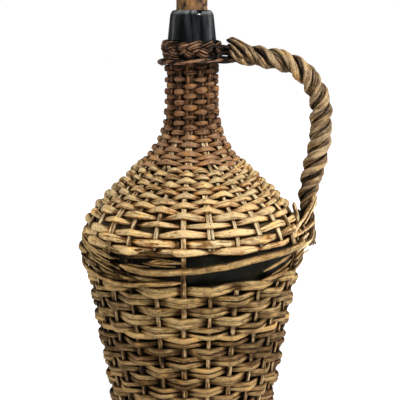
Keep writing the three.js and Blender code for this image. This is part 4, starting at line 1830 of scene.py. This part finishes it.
@dataclass
class Handle(Wickerwork):
    """The twisted handle: three strands, each of several canes, from the collar to the shoulder."""

    LOOSE_ENDS = (
        ((0.0335, -0.0030, 0.3915), (0.0420, -0.0050, 0.3885), (0.0530, -0.0080, 0.3800)),
        ((0.0365, 0.0020, 0.3930), (0.0450, 0.0000, 0.3895), (0.0560, -0.0040, 0.3830)),
        ((0.0345, -0.0060, 0.3870), (0.0410, -0.0090, 0.3820), (0.0490, -0.0100, 0.3740)),
    )

    radius: float = 0.0110
    foot_radius: float = 0.0066
    foot_length: float = 0.048
    lay: Pair = (0.058, 0.046)
    lay_change: Pair = (0.04, 0.14)
    bow: float = 0.0145
    drop: float = 0.014
    rise: float = 0.0085
    waist: float = 0.0015
    belly: float = 0.10
    belly_rise: Pair = (0.09, 0.13)
    belly_fall: Pair = (0.16, 0.20)
    top_fillet: float = 0.052
    side_fillet: float = 0.090
    foot_fillet: float = 0.060
    clearance: float = 0.00035
    strands: int = 3
    canes_per_strand: int = 4
    strand_reach: float = 0.48
    cane_reach: float = 0.28
    cane_size: float = 0.25
    cane_twist: float = 0.45
    dark_share: float = 0.42
    dark_from: Pair = (0.55, 0.85)
    loose_radius: float = 0.0026
    lashing_size: float = 1.1
    rear_drop: float = 0.006
    rear_tone: float = 0.8
    packing_radius: float = 0.0032
    packing_taper: float = 0.004
    cane_taper: float = 0.006
    cut_taper: float = 0.003
    tone_spread: float = 0.2
    samples: int = 420
    seed: int = 101
    shape_seed: int = 7

    def __post_init__(self) -> None:
        """Lays out the line of the handle in the XZ plane."""
        bottle = self.casing.bottle
        hoop_low, hoop_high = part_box("neck_hoop")
        shoulder = -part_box("shoulder_hoop_02")[0].x
        reach = shoulder + self.bow
        tilt = self.drop / (reach - hoop_high.x)
        start = hoop_high.x + self.clearance + self.radius * tilt
        top = (hoop_low.z + hoop_high.z) / 2.0 + self.rise
        foot_reach = shoulder + self.clearance + self.foot_radius
        half_foot = self.foot_length / 2.0
        self.line = Outline(
            [
                (start, top, 0.0),
                (reach, top - self.drop, self.top_fillet),
                (reach, bottle.neck_corner_z, self.side_fillet),
                (shoulder + self.waist, bottle.body_height + half_foot, self.foot_fillet),
                (foot_reach, bottle.body_height - half_foot, 0.0),
            ]
        )

    def build(self) -> None:
        """Builds and places the strands and the lashing at their foot."""
        rng = np.random.default_rng(self.seed)
        s = np.linspace(0.0, self.line.length, self.samples)
        for strand in range(self.strands):
            canes = [self._cane(rng, s, strand, index) for index in range(self.canes_per_strand)]
            if strand == 0:
                canes += self._loose_ends()
            number = f"{strand + 1:02d}"
            nodes = [f"handle_strand_{number}"]
            section = {"flatness": 0.95, "wobble": 0.0012, "seed": 20.0 + strand}
            self.sweep.build(f"handle_twist_{number}", Slot.HANDLE, nodes, canes, **section)
        self.sweep.build("handle_lashing", Slot.UPRIGHT, [], self._lashing(), flatness=0.8, seed=24.0)

    def _cane(self, rng: np.random.Generator, s: Array, strand: int, index: int) -> Cane:
        """One cane of one strand."""
        point, _, normal = self.line.at(s)
        foot = self.line.length - self.foot_length / 2.0
        full = between((self.radius, self.foot_radius), smooth(s, foot - self.foot_length, foot))
        full = full * (1.0 + 0.04 * ripple(np.random.default_rng(self.shape_seed), s, 0.03))
        full = full * (1.0 + self.belly * hump(s, self.belly_rise, self.belly_fall))
        lay = between(self.lay, smooth(s, *self.lay_change))
        turns = np.concatenate([[0.0], np.cumsum(np.diff(s) / lay[1:])])
        angle = TAU * (turns + strand / self.strands) + 0.15 * ripple(rng, s, 0.05)
        own = TAU * (index / self.canes_per_strand + self.cane_twist * turns)
        across = full * (self.strand_reach * np.cos(angle) + self.cane_reach * np.cos(angle + own))
        aside = full * (self.strand_reach * np.sin(angle) + self.cane_reach * np.sin(angle + own))
        out = np.stack([across * normal[:, 0], aside, across * normal[:, 1]], axis=1)
        points = out + np.stack([point[:, 0], np.zeros_like(s), point[:, 1]], axis=1)
        # Painted light and shade: canes on the outside of the bundle are paler, those in the grooves between
        # strands darker; the canes are also paler past the belly and darker towards the foot.
        crown = 0.30 + 0.62 * smooth(np.hypot(across, aside) / full, 0.42, 0.72)
        crown = crown * (1.0 + 0.12 * smooth(s, *self.belly_rise))
        crown = crown * (1.0 - self.dark_share * smooth(s / self.line.length, *self.dark_from))
        thick = self.cane_size * full * (1.0 + 0.08 * ripple(rng, s, 0.03))
        tone = float(np.clip(rng.normal(0.5, self.tone_spread), 0.0, 1.0))
        return Cane.plain(points, thick, tone, crown, out).trimmed(self.cane_taper)

    def _loose_ends(self) -> list[Cane]:
        """The cut ends that stand up where the handle starts."""
        paths = [curve_through(run, 40) for run in self.LOOSE_ENDS]
        return [Cane.plain(p, self.loose_radius, tone=0.5, crown=0.75).trimmed(self.cut_taper) for p in paths]

    def _lashing(self) -> list[Cane]:
        """The pale canes that tie the foot of the handle to the shoulder, and dark ones behind."""
        over = [(0.121, 0.004, 0.246), (0.1195, -0.0085, 0.2385), (0.1137, -0.0135, 0.2258)]
        over += [(0.106, -0.019, 0.2158), (0.0975, -0.030, 0.2062)]
        beside = [(0.1225, 0.002, 0.2385), (0.1195, -0.009, 0.231), (0.113, -0.0145, 0.2195)]
        beside += [(0.1085, -0.0165, 0.2125)]
        post = [(0.0990, -0.021, 0.2355), (0.1012, -0.0205, 0.226), (0.1029, -0.0185, 0.2168)]
        post += [(0.104, -0.018, 0.209)]
        leaning = [(0.0955, -0.036, 0.209), (0.0985, -0.035, 0.199), (0.1012, -0.033, 0.1905)]
        leaning += [(0.0998, -0.034, 0.175), (0.0972, -0.035, 0.165)]
        short = [(0.1045, -0.0165, 0.2025), (0.1091, -0.0145, 0.2058), (0.1178, -0.0095, 0.2118)]
        short += [(0.1215, -0.001, 0.214)]
        round_foot = [(0.1015, -0.025, 0.1858), (0.1113, -0.0160, 0.1922), (0.1172, -0.0105, 0.197)]
        round_foot += [(0.1195, -0.004, 0.2045), (0.1205, 0.004, 0.213)]
        upper = [(0.1040, -0.022, 0.1945), (0.1085, -0.0175, 0.199), (0.1150, -0.0125, 0.2035)]
        inner = [(0.1075, -0.015, 0.215), (0.1105, -0.0135, 0.205), (0.1110, -0.014, 0.1945)]
        frayed = [(0.1060, -0.018, 0.1865), (0.1110, -0.016, 0.185), (0.1155, -0.013, 0.1872)]
        runs = [
            (over, 0.0026, 0.85),
            (beside, 0.0024, 0.6),
            (post, 0.0026, 0.75),
            (leaning, 0.0025, 0.65),
            (short, 0.0023, 0.6),
            (round_foot, 0.0026, 0.65),
            (upper, 0.0021, 0.5),
            (inner, 0.0024, 0.2),
            (frayed, 0.0009, 0.7),
        ]
        for run, size, tone in (runs[0], runs[1], runs[5]):
            rear = [(x, -y, z - self.rear_drop) for x, y, z in run]
            runs.append((rear, size, self.rear_tone * tone))
        canes: list[Cane] = []
        for run, size, tone in runs:
            path = curve_through(run, 80)
            canes.append(Cane.plain(path, self.lashing_size * size, tone, crown=0.86).trimmed(self.cut_taper))
        for y in (-0.008, -0.002, 0.005, 0.011):
            packing = [(0.1060, y, 0.2230), (0.1085, y, 0.2150), (0.1095, y, 0.2050), (0.1095, y, 0.1880)]
            filler = Cane.plain(curve_through(packing, 60), self.packing_radius, tone=0.15, crown=0.2)
            canes.append(filler.trimmed(self.packing_taper))
        return canes


@dataclass
class WovenBase(Wickerwork):
    """The underside: crossed sticks, two chasing weavers and the wale that it stands on."""

    sticks_per_layer: int = 3
    stick_radius: float = 0.0022
    stick_gap: float = 0.0005
    fan_from: Pair = (0.009, 0.024)
    spokes: int = 12
    weaver_width: float = 0.0056
    weaver_half: float = 0.0011
    weaver_start: float = 0.028
    weaver_step: float = 0.006
    weaver_pitch: float = 0.012
    wale_inset: float = 0.0036
    wale_radius: float = 0.0026
    wale_room: float = 0.0027
    wale_twist: float = 0.0014
    wale_twists: float = 9.0
    wale_canes: int = 3
    wale_overlap: float = 1.01
    seed: int = 111

    def build(self) -> None:
        """Builds and places the base."""
        rng = np.random.default_rng(self.seed)
        for layer in range(2):
            first = self.sticks_per_layer * layer + 1
            nodes = [f"base_stick_{first + way:02d}" for way in range(self.sticks_per_layer)]
            canes = [self._stick(rng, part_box(node), layer, way) for way, node in enumerate(nodes)]
            section = {"flatness": 0.95, "wobble": 0.0, "seed": 30.0}
            self.sweep.build(f"base_sticks_{layer + 1}", Slot.UPRIGHT, nodes, canes, **section)
        for which in range(2):
            node = f"base_weaver_{which + 1:02d}"
            canes = [self._weaver(rng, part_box(node), which)]
            section = {"flatness": 0.42, "wobble": 0.0, "seed": 31.0}
            self.sweep.build(f"base_canes_{which + 1}", Slot.BODY, [node], canes, **section)
        section = {"flatness": 0.95, "wobble": 0.0, "seed": 32.0}
        self.sweep.build("foot_wale_twist", Slot.BODY, ["foot_wale"], self._wale(rng), **section)

    def _stick(self, rng: np.random.Generator, box: Any, layer: int, way: int) -> Cane:
        """One stick, straight at the cross and opened out beyond it."""
        low, high = box
        place_in_layer = way - (self.sticks_per_layer - 1) / 2.0
        fan = place_in_layer * TAU / self.spokes
        t = np.linspace(-1.0, 1.0, 81)
        far = np.abs(t) * high[layer] / math.cos(fan)
        share = smooth(far, *self.fan_from)
        along = np.sign(t) * far * between((1.0, math.cos(fan)), share)
        cross = place_in_layer * (2.0 * self.stick_radius + self.stick_gap)
        aside = cross * (1.0 - share) + far * math.sin(fan) * share
        levels = (low.z + self.stick_radius, high.z - self.stick_radius)
        flat = (along, aside)
        if layer == 1:
            flat, levels = (-aside, along), levels[::-1]
        points = np.column_stack([*flat, between(levels, share)])
        tone = float(rng.uniform(0.3, 0.7))
        return Cane.plain(points, self.stick_radius, tone, crown=0.5, face=np.tile(UP, (len(t), 1)))

    def _weaver(self, rng: np.random.Generator, box: Any, which: int) -> Cane:
        """One weaver, which changes sides at every spoke."""
        low, high = box
        middle, lift = (low.z + high.z) / 2.0, (high.z - low.z) / 2.0 - self.weaver_half
        outer = max(high.x, high.y) - self.weaver_width / 2.0
        inner = self.weaver_start + self.weaver_step * which
        turn = np.linspace(0.0, TAU * (outer - inner) / self.weaver_pitch, 420)
        wave = np.cos(self.spokes * turn / 2.0 + math.pi * which)
        points = around(inner + self.weaver_pitch * turn / TAU, turn, middle + lift * wave)
        tone = float(rng.uniform(0.4, 0.6))
        face = np.tile(UP, (len(turn), 1))
        # Painted light and shade: paler where the weaver dips down, darker where it rises in.
        return Cane.plain(points, self.weaver_width / 2.0, tone, 0.5 - 0.3 * wave, face)

    def _wale(self, rng: np.random.Generator) -> list[Cane]:
        """The foot: three canes twisted round the feet of the uprights."""
        low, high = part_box("foot_wale")
        height = (high.z - low.z) / 2.0
        canes: list[Cane] = []
        for index in range(self.wale_canes):
            turn = np.linspace(0.0, TAU * self.wale_overlap, 500)
            phase = self.wale_twists * turn + TAU * index / self.wale_canes
            radial = high.x - self.wale_inset + self.wale_twist * np.cos(phase)
            points = around(radial, turn, height + (height - self.wale_room) * np.sin(phase))
            # Painted light and shade: paler where a cane lies outward, darker where it turns in.
            crown = 0.4 + 0.3 * np.cos(phase)
            canes.append(Cane.plain(points, self.wale_radius, float(rng.uniform(0.35, 0.6)), crown))
        return canes


@dataclass(frozen=True)
class Lamp:
    """A soft rectangular lamp that looks at the bottle."""

    AIM = (0.0, 0.0, 0.22)

    name: str
    spot: Spot
    size: Pair
    power: float
    mirrored: bool = True

    def hang(self) -> None:
        """Hangs the lamp and turns it to the bottle."""
        data = bpy.data.lights.new(self.name, "AREA")
        data.shape = "RECTANGLE"
        data.size, data.size_y = self.size
        data.energy = self.power
        lamp = add_object(self.name, data)
        lamp.location = self.spot
        lamp.visible_glossy = self.mirrored
        x, y, z = np.array(self.AIM) - np.array(self.spot)
        yaw = math.atan2(y, x) - math.pi / 2.0
        lamp.rotation_euler = (math.atan2(math.hypot(x, y), -z), 0.0, yaw)


@dataclass
class Studio:
    """The pale floor, soft light and the camera of the photograph."""

    LAMPS = (
        Lamp("key", (1.00, -1.02, 1.35), (0.30, 0.30), 32.0),
        Lamp("fill", (-1.25, -0.70, 0.85), (0.7, 0.9), 10.0, mirrored=False),
        Lamp("edge_left", (-1.25, 0.35, 0.60), (0.35, 1.2), 2.2),
        Lamp("edge_right", (1.25, 0.35, 0.60), (0.5, 1.2), 5.0),
        Lamp("side_right", (1.35, -0.45, 0.25), (0.5, 0.8), 5.0, mirrored=False),
    )

    camera_place: Spot = (0.0078, -1.060, 0.4106)
    camera_tilt: float = 9.44
    lens: float = 97.5
    sensor_width: float = 36.0
    floor_half: float = 6.0
    floor_grey: float = 0.85
    near_white: float = 0.69
    near_band: Pair = (-0.01, 0.02)
    far_band: Pair = (0.3, 1.0)
    ambient: float = 0.11
    mirrored: float = 0.14

    def build(self) -> None:
        """Builds the studio."""
        self._camera()
        self._floor()
        self._world()
        for lamp in self.LAMPS:
            lamp.hang()

    def _camera(self) -> None:
        """Sets up the camera."""
        data = bpy.data.cameras.new("camera")
        data.lens = self.lens
        data.sensor_width = self.sensor_width
        camera = add_object("camera", data)
        camera.location = self.camera_place
        camera.rotation_euler = (math.radians(90.0 - self.camera_tilt), 0.0, 0.0)
        bpy.context.scene.camera = camera

    def _floor(self) -> None:
        """Lays a floor that looks white to the camera and keeps the object's shadow."""
        half = self.floor_half
        mesh = bpy.data.meshes.new("floor")
        corners = [(-half, -half, 0.0), (half, -half, 0.0), (half, half, 0.0), (-half, half, 0.0)]
        mesh.from_pydata(corners, [], [(0, 1, 2, 3)])
        material, g = new_material("floor_white")
        grey = self.floor_grey
        lit = g.add("ShaderNodeBsdfDiffuse", None, {"Color": (grey, grey, grey, 1.0)})
        seen = g.add("ShaderNodeLightPath", None, None, "Is Camera Ray")
        away = g.add("ShaderNodeVectorMath", {"operation": "LENGTH"}, {0: g.object_place()}, "Value")
        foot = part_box("foot_wale")[1].x
        near = away.step(*(foot + edge for edge in self.near_band))
        white = near * self.near_white + away.step(*self.far_band) * (1.0 - self.near_white)
        glow = g.add("ShaderNodeEmission", None, {"Color": seen * white})
        g.surface(g.add("ShaderNodeAddShader", None, {0: lit, 1: glow}))
        mesh.materials.append(material)
        add_object("floor", mesh)

    def _world(self) -> None:
        """Makes the background white to the camera, and a soft dim light elsewhere."""
        world = bpy.data.worlds.new("studio")
        world.use_nodes = True
        world.node_tree.nodes.clear()
        g = Graph(world.node_tree)
        kinds = ("Camera", "Glossy", "Transmission")
        rays = [g.add("ShaderNodeLightPath", None, None, f"Is {kind} Ray") for kind in kinds]
        camera, glossy, through = rays
        seen = g.add("ShaderNodeMath", {"operation": "MAXIMUM"}, {0: camera, 1: through})
        strength = seen * (1.0 - self.ambient) + glossy * (self.mirrored - self.ambient) + self.ambient
        shader = g.add("ShaderNodeBackground", None, {"Color": (1.0, 1.0, 1.0, 1.0), "Strength": strength})
        g.add("ShaderNodeOutputWorld", None, {"Surface": shader})
        bpy.context.scene.world = world


def main() -> None:
    """Builds the demijohn and its studio."""
    logging.basicConfig(level=logging.INFO, format="%(name)s: %(message)s")
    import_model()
    bpy.context.scene.view_settings.view_transform = "Standard"
    willow = {slot: finish.make() for slot, finish in WILLOW.items()}
    Studio().build()
    bottle = Bottle()
    bottle.build(GlassFinish().make())
    Cork().build(CorkFinish().make(), bottle.rim_z)
    casing = Casing(bottle)
    sweep = CaneSweep(willow)
    parts = (WovenBase, Uprights, BodyWeave, ShoulderBand, DomeWeave, NeckWeave, Collar, Handle)
    for part in parts:
        part(casing, sweep).build()


if __name__ == "__main__":
    main()
